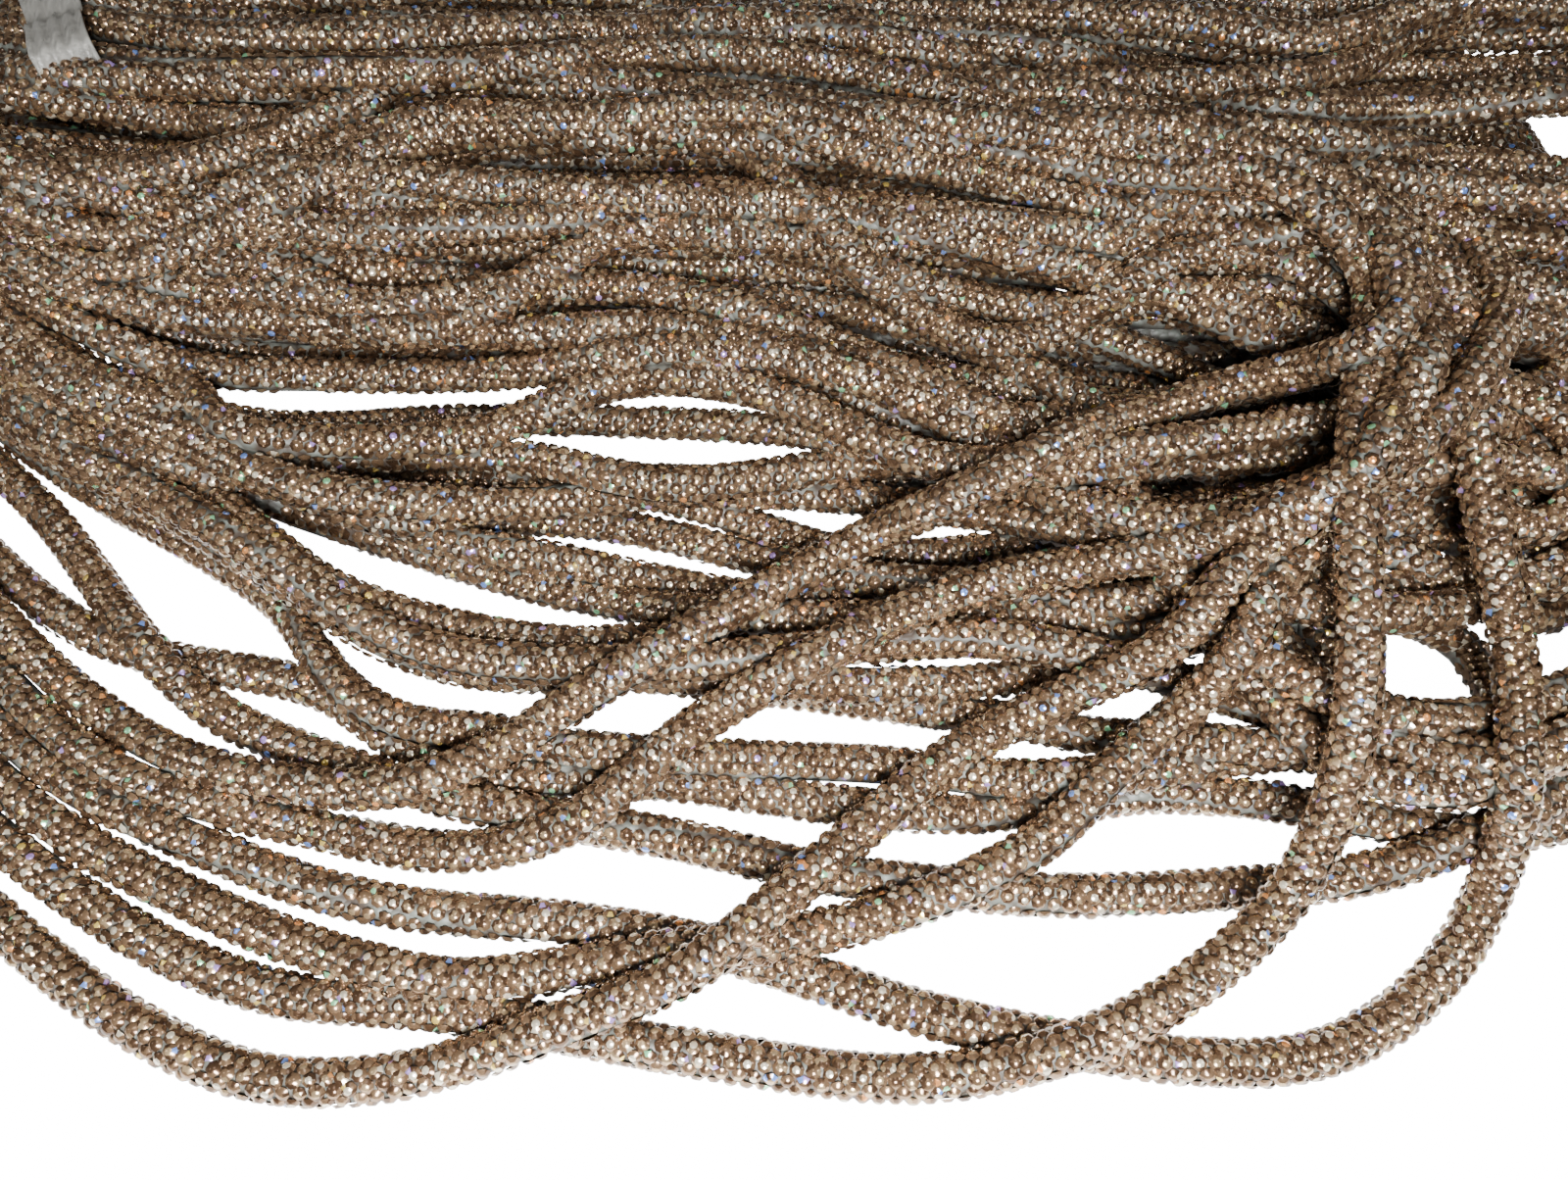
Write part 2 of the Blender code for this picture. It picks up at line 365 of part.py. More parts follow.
def outer_turn(index):
    """Return one turn's points: its front, its right end, its back and the way to the next front."""
    front = list(FRONTS[index].points)
    back = []
    for x, y, lift in reversed(BACKS[index].points):
        aside, up = stray(x, y, index)
        back.append((x, y + aside, pile_height(x, y) + lift + up))
    layer = CORD_RADIUS + BEND_LAYER_HEIGHT * (index % BEND_LAYERS)
    if index >= UPRIGHT_FROM:
        back = [point for point in back if point[0] < UPRIGHT_TRIM]
        right = []
    else:
        reach = RIGHT_REACH + RIGHT_REACH_SHARE * abs(back[0][1] - front[-1][1]) / 2
        right = bend(front[-1], back[0], 1, reach, layer)
    left = []
    if index + 1 < len(FRONTS):
        onward = FRONTS[index + 1].points[0]
        reach = LEFT_REACH + LEFT_REACH_SHARE * abs(back[-1][1] - onward[1]) / 2
        left = bend(back[-1], onward, -1, reach, layer) + [onward]
    return front + right + back + left


def spline(points, spacing):
    """Return evenly spaced points on a smooth curve through the given ones."""
    knots = np.asarray(points, float)
    knots = np.vstack([2 * knots[0] - knots[1], knots, 2 * knots[-1] - knots[-2]])
    dense = []
    for before, start, end, after in zip(knots[:-3], knots[1:-2], knots[2:-1], knots[3:]):
        pairs = ((before, start), (start, end), (end, after))
        gaps = [max(np.linalg.norm(there - here), 1e-6) ** 0.5 for here, there in pairs]
        leave = ((start - before) / gaps[0] - (end - before) / (gaps[0] + gaps[1])
                 + (end - start) / gaps[1]) * gaps[1]
        arrive = ((end - start) / gaps[1] - (after - start) / (gaps[1] + gaps[2])
                  + (after - end) / gaps[2]) * gaps[1]
        share = np.linspace(0, 1, 13)[:-1, None]
        dense.append((2 * share**3 - 3 * share**2 + 1) * start + (share**3 - 2 * share**2 + share) * leave
                     + (3 * share**2 - 2 * share**3) * end + (share**3 - share**2) * arrive)
    dense = np.vstack(dense + [knots[-2:-1]])
    lengths = np.concatenate([[0.0], np.cumsum(np.linalg.norm(np.diff(dense, axis=0), axis=1))])
    count = max(int(round(lengths[-1] / spacing)), 2) + 1
    places = np.linspace(0, lengths[-1], count)
    return np.stack([np.interp(places, lengths, dense[:, k]) for k in range(3)], axis=1)


def along_sight(points):
    """Move points read on the level plane along their lines of sight to their heights."""
    share = (EYE_HEIGHT - points[:, 2:]) / (EYE_HEIGHT - READING_HEIGHT)
    return np.hstack([points[:, :2] * share, points[:, 2:]])


def even_out(heights):
    """Even out a turn's heights along its length, down to the surface that it lies on."""
    for _ in range(SMOOTHING_ROUNDS):
        padded = np.pad(heights, 1, mode="edge")
        heights = np.maximum(CORD_RADIUS, (padded[:-2] + 2 * padded[1:-1] + padded[2:]) / 4)
    return heights


def lift_over(route, floor, laid):
    """Return the heights at which a route passes over what lies just below its own floor heights."""
    if not len(laid):
        return floor
    gap = route[:, None, :2] - laid[None, :, :2]
    apart = np.einsum("ijk,ijk->ij", gap, gap)
    settled = CORD_DIAMETER * SETTLED_SHARE
    near = (apart < settled**2) & (laid[None, :, 2] < floor[:, None] + LIFT_REACH)
    top = np.where(near, laid[None, :, 2] + np.sqrt(np.maximum(settled**2 - apart, 0)), 0)
    return np.maximum(floor, top.max(axis=1))


def lay_turns():
    """Return every turn's route in mm, each laid over those before it."""
    laid = np.zeros((0, 3))
    turns = []
    inner = [inner_turn(index) for index in range(INNER_TURNS)]
    outer = [outer_turn(index) for index in range(len(FRONTS))]
    for points in inner + outer:
        read = spline(points, STEP_LENGTH)
        floor = np.maximum(read[:, 2], CORD_RADIUS)
        heights = floor
        for _ in range(LAYING_ROUNDS):
            route = along_sight(np.column_stack([read[:, :2], heights]))
            heights = even_out(lift_over(route, floor, laid))
        route = along_sight(np.column_stack([read[:, :2], heights]))
        turns.append(route)
        laid = np.vstack([laid, route])
    return turns


def start_empty():
    """Remove what the scene holds, and return the part's and the guides' collections."""
    for thing in list(bpy.data.objects):
        bpy.data.objects.remove(thing, do_unlink=True)
    made = []
    for name in ("rhinestone_cord_hank", "guides"):
        collection = bpy.data.collections.new(name)
        bpy.context.scene.collection.children.link(collection)
        made.append(collection)
    return made


def material(name, colour, roughness, metallic):
    """Return a plain material of one colour and gloss."""
    made = bpy.data.materials.new(name)
    made.use_nodes = True
    shader = made.node_tree.nodes["Principled BSDF"]
    shader.inputs["Base Color"].default_value = (*colour, 1.0)
    shader.inputs["Roughness"].default_value = roughness
    shader.inputs["Metallic"].default_value = metallic
    return made


def place(points):
    """Return points in mm from the viewpoint's foot as metres from the part's origin."""
    return (np.asarray(points) - (ORIGIN_ACROSS, ORIGIN_AWAY, 0.0)) * MM


def evaluated_copy(source, name, collection):
    """Replace an object by a plain mesh object of its evaluated shape."""
    graph = bpy.context.evaluated_depsgraph_get()
    mesh = bpy.data.meshes.new_from_object(source.evaluated_get(graph))
    copy = bpy.data.objects.new(name, mesh)
    copy.matrix_world = source.matrix_world
    bpy.data.objects.remove(source, do_unlink=True)
    collection.objects.link(copy)
    return copy


def cord_tube(route, collection):
    """Return the whole cord as one round tube along its route."""
    curve = bpy.data.curves.new("cord_route", "CURVE")
    curve.dimensions = "3D"
    curve.bevel_depth = CORD_RADIUS * MM
    curve.bevel_resolution = 2
    curve.use_fill_caps = True
    run = curve.splines.new("POLY")
    run.points.add(len(route) - 1)
    for point, where in zip(run.points, place(route)):
        point.co = (*where, 1.0)
    guide = bpy.data.objects.new("cord_route", curve)
    collection.objects.link(guide)
    return evaluated_copy(guide, "hank", collection)


def keep_outer_shell(mesh):
    """Delete closed inner hollows, which are the loose shells inside the largest one."""
    shape = bmesh.new()
    shape.from_mesh(mesh)
    unseen = set(shape.verts)
    shells = []
    while unseen:
        front = [unseen.pop()]
        shell = list(front)
        while front:
            vertex = front.pop()
            for edge in vertex.link_edges:
                other = edge.other_vert(vertex)
                if other in unseen:
                    unseen.remove(other)
                    shell.append(other)
                    front.append(other)
        shells.append(shell)
    shells.sort(key=len, reverse=True)
    bmesh.ops.delete(shape, geom=[vertex for shell in shells[1:] for vertex in shell], context="VERTS")
    shape.to_mesh(mesh)
    shape.free()


def press_level(mesh, depth):
    """Press the underside level: whatever is below a depth is raised to it."""
    for vertex in mesh.vertices:
        vertex.co.z = max(vertex.co.z, depth)


def cut_away(body, cutter, name):
    """Take a cutter's shape out of a body."""
    cutter.hide_render = True
    cutter.display_type = "WIRE"
    cut = body.modifiers.new(name, "BOOLEAN")
    cut.operation = "DIFFERENCE"
    cut.object = cutter


def fuse_strands(tube, name):
    """Fuse a body's overlapping parts into one skin."""
    fuse = tube.modifiers.new(name, "REMESH")
    fuse.mode = "VOXEL"
    fuse.voxel_size = VOXEL


def build_hank(routes, tie_room, collection):
    """Return the hank: every strand fused with those that it lies on, and pinched by its tie."""
    route = np.vstack(routes)
    lengths = np.concatenate([[0.0], np.cumsum(np.linalg.norm(np.diff(route, axis=0), axis=1))])
    places = np.linspace(0, lengths[-1], int(lengths[-1] / TUBE_STEP))
    route = np.stack([np.interp(places, lengths, route[:, k]) for k in range(3)], axis=1)
    tube = cord_tube(route, collection)
    fuse_strands(tube, "fuse")
    cut_away(tube, tie_room, "room_for_tie")
    fuse_strands(tube, "fuse_again")
    fused = evaluated_copy(tube, "hank", collection)
    keep_outer_shell(fused.data)
    press_level(fused.data, FLAT_DEPTH * MM)
    fused.modifiers.new("triangles", "TRIANGULATE")
    thin = fused.modifiers.new("thin", "DECIMATE")
    thin.ratio = HANK_TRIANGLES / (2 * len(fused.data.polygons))
    hank = evaluated_copy(fused, "hank", collection)
    press_level(hank.data, (FLAT_DEPTH + FLAT_MARGIN) * MM)
    return hank


def tie_profile(routes):
    """Return the strap's path over the bundle: places along its heading with heights in mm."""
    points = np.vstack(routes)
    start, heading = np.array(TIE_START), np.array(TIE_HEADING)
    offset = points[:, :2] - start
    along = offset @ heading
    aside = offset @ np.array([heading[1], -heading[0]])
    near = points[np.abs(aside) < TIE_WIDTH]
    along = along[np.abs(aside) < TIE_WIDTH]
    places = np.linspace(0, TIE_LENGTH, TIE_STEPS)
    tops = []
    for where in places:
        under = near[np.abs(along - where) < CORD_DIAMETER]
        tops.append(under[:, 2].max() + CORD_RADIUS if len(under) else CORD_DIAMETER)
    for _ in range(3):
        padded = np.pad(tops, 1, mode="edge")
        tops = np.maximum(tops, (padded[:-2] + padded[1:-1] + padded[2:]) / 3)
    profile = [(where, top + TIE_RISE) for where, top in zip(places, tops)]
    return [(-1.5, profile[0][1] - TIE_TUCK)] + profile + [(TIE_LENGTH + 1.5, TIE_FOOT)]


def strap(name, profile, width, thickness, sink, collection):
    """Return a closed band along a profile, its inner face sunk below it by a given depth."""
    start, heading = np.array(TIE_START), np.array(TIE_HEADING)
    side = np.array([heading[1], -heading[0]])
    shape = bmesh.new()
    rows = []
    for along, height in profile:
        middle = start + heading * along
        ends = [middle + side * width * share for share in (-0.5, 0.5)]
        rows.append([shape.verts.new(place((*end, height))) for end in ends])
    for (left, right), (left_on, right_on) in zip(rows, rows[1:]):
        shape.faces.new((left, right, right_on, left_on))
    mesh = bpy.data.meshes.new(name)
    shape.to_mesh(mesh)
    shape.free()
    band = bpy.data.objects.new(name, mesh)
    collection.objects.link(band)
    wall = band.modifiers.new("thickness", "SOLIDIFY")
    wall.thickness = thickness * MM
    wall.offset = 1.0 - 2.0 * sink / thickness
    wall.use_even_offset = True
    return band


def main():
    """Build the hank and its tie."""
    parts, guides = start_empty()
    routes = lay_turns()
    profile = tie_profile(routes)
    tie = strap("tie", profile, TIE_WIDTH, TIE_THICKNESS, 0.0, parts)
    (first, first_height), (last, last_height) = profile[0], profile[-1]
    longer = [(first, first_height - TIE_ROOM), *profile[1:-1], (last, last_height - 2 * TIE_ROOM)]
    room = strap("tie_room", longer, TIE_WIDTH + 2 * TIE_ROOM, TIE_THICKNESS + 2 * TIE_ROOM,
                 TIE_ROOM, guides)
    hank = build_hank(routes, room, parts)
    sink = Matrix.Translation((0, 0, -(FLAT_DEPTH + FLAT_MARGIN) * MM))
    for piece in (hank, tie, room):
        piece.data.transform(sink)
    hank.data.materials.append(material("rhinestones", HANK_COLOUR, 0.3, 0.6))
    tie.data.materials.append(material("tie_plastic", TIE_COLOUR, 0.4, 0.0))


if __name__ == "__main__":
    main()
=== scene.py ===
"""Looks of a loose hank of round rhinestone cord, held at its back by a plastic tie.

The cord runs in oval turns that lie over each other. Its routes are the same as in the part's source:
points in mm from the viewpoint's foot, which are laid over each other and then placed in the frame.
Round a core of grey net sit ten rows of foiled champagne stones, each one cut with flat facets.
"""
import logging
import math
from dataclasses import dataclass
from enum import Enum
from typing import NamedTuple

import bmesh
import bpy
import numpy as np
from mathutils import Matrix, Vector
from mathutils.bvhtree import BVHTree
from mathutils.kdtree import KDTree


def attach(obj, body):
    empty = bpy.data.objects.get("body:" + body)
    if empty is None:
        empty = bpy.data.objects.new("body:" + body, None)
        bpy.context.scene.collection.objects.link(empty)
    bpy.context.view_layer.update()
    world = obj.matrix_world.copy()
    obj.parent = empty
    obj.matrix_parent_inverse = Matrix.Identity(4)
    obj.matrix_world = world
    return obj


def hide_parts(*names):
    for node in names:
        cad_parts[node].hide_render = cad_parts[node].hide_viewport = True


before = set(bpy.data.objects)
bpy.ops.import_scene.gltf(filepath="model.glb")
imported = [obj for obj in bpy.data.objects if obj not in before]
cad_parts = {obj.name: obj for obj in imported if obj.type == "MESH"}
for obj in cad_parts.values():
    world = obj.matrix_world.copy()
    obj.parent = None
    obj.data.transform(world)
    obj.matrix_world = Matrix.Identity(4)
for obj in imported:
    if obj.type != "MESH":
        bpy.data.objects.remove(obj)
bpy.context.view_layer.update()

MM = 0.001
LOG = logging.getLogger("rhinestone_cord_hank")

# How the cord's middle line is rounded, and how it twists as it lies
SPAN_STEPS = 12
ROUNDING_REACH = 6
TWIST = 0.75
TWIST_LENGTHS = (0.11, 0.19, 0.34, 0.73)

Colour = tuple[float, float, float]
Range = tuple[float, float]


class Pass(NamedTuple):
    """One pass of the cord over the front or the back, as points (across, away, height) in mm.

    A point of a front without a height lies on the surface. Backs get their height from the bundle.
    """

    name: str
    points: tuple[tuple[float, ...], ...]


# Fronts of the turns, left to right, in the order in which they lie on each other
FRONTS = (
    Pass("low far straight", (
        (-140, 110), (-107, 84), (-90, 77.5), (-73, 74.6), (-64, 71.5), (-53, 63.5), (-42, 60), (-15, 58.8),
        (0, 56.5), (15, 54.5), (33, 54.5), (50, 57.2), (67, 56), (92, 51.5), (112, 55))),
    Pass("low near straight", (
        (-140, 123), (-116, 103), (-104.6, 91), (-94.6, 80), (-81.5, 69.4), (-69, 63.7), (-55, 59),
        (-42, 55.5), (-28, 53), (-11, 49.8), (3, 46.3), (19, 44.2), (36, 42.9), (58, 43.7), (76, 45.5),
        (91, 50), (108, 58))),
    Pass("steep left", (
        (-145, 133), (-125, 118), (-110, 108), (-95, 99.5), (-84, 93), (-75, 86.5), (-70, 80.5), (-65, 74),
        (-55, 67.7), (-41, 66), (-28, 63.4), (-7, 62), (15, 61), (32, 59), (48, 60), (75, 64), (105, 66))),
    Pass("middle far", (
        (-145, 137), (-125, 121.5), (-112, 113.5), (-100, 109), (-85, 99), (-72, 89.5), (-59, 83),
        (-49, 79.5), (-25, 76), (0, 73), (19, 70), (36, 67.3), (44, 65.5), (56, 65), (75, 63), (105, 61))),
    Pass("middle near", (
        (-145, 135), (-125, 120), (-112, 112), (-100, 105.5), (-85, 97), (-76, 91), (-66, 84.5), (-58, 80),
        (-49, 76.8), (-38, 75.2), (-20, 75.5), (0, 74.2), (20, 73.6), (41, 76), (60, 81, 6), (85, 86, 8),
        (110, 90, 8))),
    Pass("middle rise", (
        (-145, 139, 4), (-125, 123.5, 4), (-112, 115.5, 4), (-100, 112.5, 4), (-85, 102), (-76, 94.5),
        (-69, 89.8), (-60, 86), (-50, 83), (-41, 81.2), (-29, 79.8), (-14, 81.5), (0, 82.8), (23, 81.2),
        (50, 82), (72, 86, 6), (110, 94, 9))),
    Pass("upper low", (
        (-145, 141, 5), (-125, 125, 5), (-112, 118, 4), (-90, 110, 4), (-80, 105), (-66, 99.7), (-50, 94.2),
        (-41.5, 91.2), (-29, 88), (-18, 86), (5, 84.5), (30, 84.8), (48, 85), (70, 90, 8), (110, 102, 12))),
    Pass("upper middle", (
        (-145, 143, 6), (-125, 127, 6), (-112, 120.5, 5), (-93, 116, 5), (-80, 109, 4), (-64, 102.5),
        (-50, 97.7), (-36, 95), (-20, 91), (-5, 88), (15, 88), (35, 87.5), (55, 88, 5), (80, 96, 12),
        (110, 108, 14))),
    Pass("upper high", (
        (-145, 145, 7), (-125, 129, 7), (-112, 122.5, 6), (-97, 121, 6), (-85, 112, 5), (-72, 105.5, 4),
        (-60, 102.2), (-46, 102.3), (-33, 102), (-20, 99.7), (-10, 96.8), (2, 93.5), (20, 90.5),
        (40, 90, 4), (65, 96, 10), (110, 112, 16))),
    Pass("deep 1", (
        (-155, 158, 6), (-139.8, 152.1, 5), (-119.7, 148.8, 4), (-101.6, 146, 4), (-85.7, 144.1, 4),
        (-64.7, 141, 4), (-40.7, 139.2, 4), (-16.9, 138.7, 4), (8.4, 135.9, 4), (24.9, 131.3, 4),
        (41.1, 127.5, 4), (57.2, 124.6, 4), (72.8, 120.9, 4), (87.4, 113.7, 4), (99.1, 104.2, 4),
        (106.2, 96.5, 4), (114.7, 89.8, 4))),
    Pass("deep 2", (
        (-155, 146, 4), (-133.8, 133.9), (-114.8, 126.2), (-96.8, 119.7), (-80, 116.7), (-63.8, 115.3),
        (-47.6, 112.9), (-31.5, 110.6), (-15.7, 109.4), (0, 109.4), (15.7, 109.4), (31.4, 109.4),
        (47.1, 109.3), (62.6, 107.9), (73.9, 101.9), (79.3, 91.6), (79.2, 79.8), (78.8, 68.8), (85, 61.3),
        (96.5, 58.4))),
    Pass("deep 3", (
        (-145, 136), (-125, 121), (-112, 113), (-100, 107), (-85, 98.5), (-76, 92.5), (-66, 86),
        (-58, 81.5), (-49, 78.5), (-38, 77), (-20, 77), (0, 78.5), (15, 80.5), (29, 81.4), (43, 79),
        (55.7, 75), (67.5, 70), (80.7, 66.1), (93.8, 63.5), (106, 62))),
    Pass("falling 1", (
        (-150, 162, 9), (-120, 146, 9), (-100, 139, 9), (-80, 135, 8), (-50, 134, 8), (-25, 132, 8),
        (-5, 128, 7), (16.2, 121.7, 6), (28.6, 113.7, 5), (43.3, 103.2, 4), (53.1, 96.5), (59.3, 88.1),
        (65.1, 79.8), (70.6, 71.1), (75.2, 63.5), (84.2, 58.4), (96.5, 58.4))),
    Pass("falling 2", (
        (-150, 165, 11), (-120, 150, 11), (-95, 143, 10), (-60, 141, 10), (-30, 139, 9), (0, 133, 8),
        (21.1, 121.7, 7), (36.6, 114.7, 6), (49.9, 107, 5), (59.5, 98.7, 5), (66.3, 89.8, 5),
        (72.7, 81.4, 5), (77.4, 73.4, 4), (82.7, 66.1), (91.9, 61.6), (104.4, 62))),
    Pass("falling 3", (
        (-150, 168, 14), (-120, 158, 14), (-90, 152, 13), (-60, 148, 12), (-34.2, 143.2, 11),
        (-6.8, 139.9, 10), (16.7, 132.2, 8), (34.1, 122.7, 7), (49, 111.8, 6), (61.5, 101.4, 5),
        (73.5, 92.4, 5), (85.9, 87.8, 5), (94.6, 84.4, 4), (100.3, 80.1), (102.4, 73.7), (104.5, 67.6),
        (109.6, 63.1))),
    Pass("falling 4", (
        (-150, 172, 16), (-110, 161, 16), (-70, 155, 14), (-27.8, 150.2, 13), (0, 147.8, 12),
        (22.2, 143.2, 11), (40.1, 133.3, 10), (56.7, 121.3, 8), (72.3, 109.4, 7), (87.2, 99.6, 6),
        (101.8, 91.6, 4), (111.5, 84.4))),
    Pass("falling 5", (
        (-150, 178, 18), (-110, 168, 18), (-70, 162, 17), (-40, 160, 16), (-17.7, 157.3, 15),
        (8.8, 156.1, 14), (31.3, 150.2, 13), (51.2, 142.1, 12), (68.3, 132.2, 11), (82.7, 121.7, 10),
        (95.3, 113.7, 9), (109.5, 107.9, 8), (120.8, 104.2, 7))),
    Pass("falling 6", (
        (-150, 184, 20), (-110, 176, 20), (-70, 171, 20), (-40, 168, 19), (-7.2, 164.8, 18),
        (21.5, 162.3, 17), (46.1, 158.6, 16), (66.1, 150.2, 15), (83.2, 139.9, 13), (95.8, 129, 12),
        (109.7, 119.7, 11), (122.9, 115.7, 10))),
    Pass("falling 7", (
        (-155, 190, 22), (-110, 184, 22), (-60, 178, 22), (-20, 174, 21), (18.3, 171.1, 20),
        (43.4, 166.8, 19), (64.5, 162.8, 18), (81.2, 156.1, 17), (94.9, 146.7, 16), (107.4, 135.4, 15),
        (120, 126.9, 14), (130.4, 123.8, 12))),
    Pass("crossing low", (
        (-145, 149, 8), (-125, 132, 8), (-112, 124.5, 7), (-97, 119, 6), (-85, 113, 5), (-73, 110.5, 4),
        (-60, 109, 4), (-45, 109.7, 4), (-30, 109, 4), (-20, 107), (-9, 103.3), (2, 98), (12, 95.5),
        (28, 96, 4), (50, 101, 8), (80, 108, 14), (112, 118, 18))),
    Pass("crossing high", (
        (-145, 147, 8), (-125, 130.5, 8), (-112, 123.5, 6), (-90, 113.5, 5), (-75, 107.7, 5),
        (-60, 105.5, 4), (-45, 105, 4), (-30, 106.5, 4), (-15, 108), (0, 107.5), (10, 106.6), (22, 105, 4),
        (36, 102.5, 5), (52, 99.5, 7), (75, 103, 12), (112, 114, 17))),
    Pass("long dip", (
        (-145, 151, 9), (-125, 133.5, 9), (-112, 125.5, 8), (-100, 126, 7), (-90, 118.5, 6),
        (-75, 114.8, 5), (-60, 115, 5), (-48, 115, 4), (-38, 113.3, 4), (-30, 111, 4), (-20, 108.8, 4),
        (-10, 109.3, 4), (0, 111, 4), (10, 113, 5), (22, 113.5, 6), (34, 111, 8), (48, 105, 10),
        (62, 101, 11), (85, 108, 16), (112, 122, 20))),
    Pass("under gap", (
        (-145, 153, 10), (-125, 135.5, 10), (-112, 128, 9), (-100, 124.5, 7), (-90, 121, 6), (-80, 120, 5),
        (-70, 120.2, 5), (-58, 121.5, 5), (-45, 122, 5), (-30, 121.7, 5), (-15, 121, 5), (0, 120, 5),
        (12, 117.5, 6), (28, 113, 8), (45, 112, 10), (65, 114, 14), (88, 116, 18), (114, 126, 21))),
    Pass("small arch", (
        (-145, 155, 11), (-125, 137.5, 11), (-112, 129, 10), (-103, 131, 9), (-92, 120, 8), (-75, 117.3, 7),
        (-60, 117.5, 7), (-50, 119, 7), (-43, 122, 8), (-37, 126.5, 8), (-29, 130, 9), (-19, 131.2, 9),
        (-9, 130, 9), (-1, 127, 9), (7, 122.5, 9), (15, 117.5, 9), (24, 113.5, 9), (34, 112.5, 10),
        (50, 115, 13), (70, 118, 17), (90, 122, 20), (116, 130, 22))),
    Pass("right loop", (
        (-140, 90), (-100, 59), (-81, 50.7), (-64, 44.4), (-49, 41.1), (-29, 39.4), (-13, 37), (0, 33.7),
        (17, 28.1), (34, 24.6), (50, 22.4), (67, 23.3), (84, 32.9), (96, 47.7, 6), (103.5, 63, 14),
        (108.7, 86, 23), (112, 112, 30), (118, 140, 34), (119, 158, 34), (108, 175, 32))),
    Pass("big loop", (
        (-140, 74), (-100, 46.8), (-81, 36.3), (-64, 30.4), (-47, 29), (-30, 26.5), (-11, 23.3), (15, 20.3),
        (32, 22.9, 5), (50, 30.3, 8), (67, 43.3, 11), (77, 58, 17), (83, 72, 24), (87.5, 90, 30),
        (92.5, 112, 34), (99, 133, 36), (105.5, 154, 36), (98, 175, 33))),
    Pass("right rise", (
        (-140, 82), (-100, 53), (-81, 43.6), (-64, 37), (-51, 33.3), (-42, 31.8), (-34, 32.5), (-16, 35.5),
        (0, 37.2), (19, 42.4), (36, 51, 5), (46, 60.7, 8), (58, 70.3, 11), (68, 80, 14), (74, 90, 17),
        (85, 101, 22), (98, 118, 27), (107, 142, 30), (110, 160, 30), (100, 178, 30))),
    Pass("front sweep", (
        (-140, 66), (-101, 38.5), (-81, 26.5), (-64, 20.4), (-46, 20.8), (-29, 26.3), (-11, 34, 4),
        (6, 48, 4), (24, 63, 5), (41, 72, 7), (57, 80, 10), (70, 94, 15), (88, 107, 21), (103, 122, 27),
        (113, 145, 30), (114, 162, 30), (104, 177, 30))),
    Pass("upper rise", (
        (-140, 97), (-100, 64), (-85, 57.2), (-64, 52.2), (-47, 48.8), (-38, 49.4), (-29, 52.5, 4),
        (-20.7, 59.8, 5), (-12, 67.7, 5), (0, 75.5, 5), (15, 84.2, 6), (32, 91, 8), (50, 94.6, 10),
        (67, 99, 14), (85, 107, 20), (102, 116, 25), (118, 132, 28), (127, 150, 28), (124, 168, 28))),
    Pass("long diagonal", (
        (-140, 104, 4), (-108, 76.3, 4), (-99, 70, 4), (-85, 62.3, 4), (-73, 59.1, 5), (-60, 57.6, 6),
        (-50, 58.7, 7), (-38, 64.8, 8), (-28.5, 72.4, 9), (-12, 83.3, 9), (0, 91, 9), (16.5, 101, 11),
        (35, 110.5, 15), (45, 117.5, 19), (56, 121.7, 21), (75, 129, 24), (92, 134.4, 27), (105, 141, 29),
        (112, 153, 30), (109, 166, 30))),
)

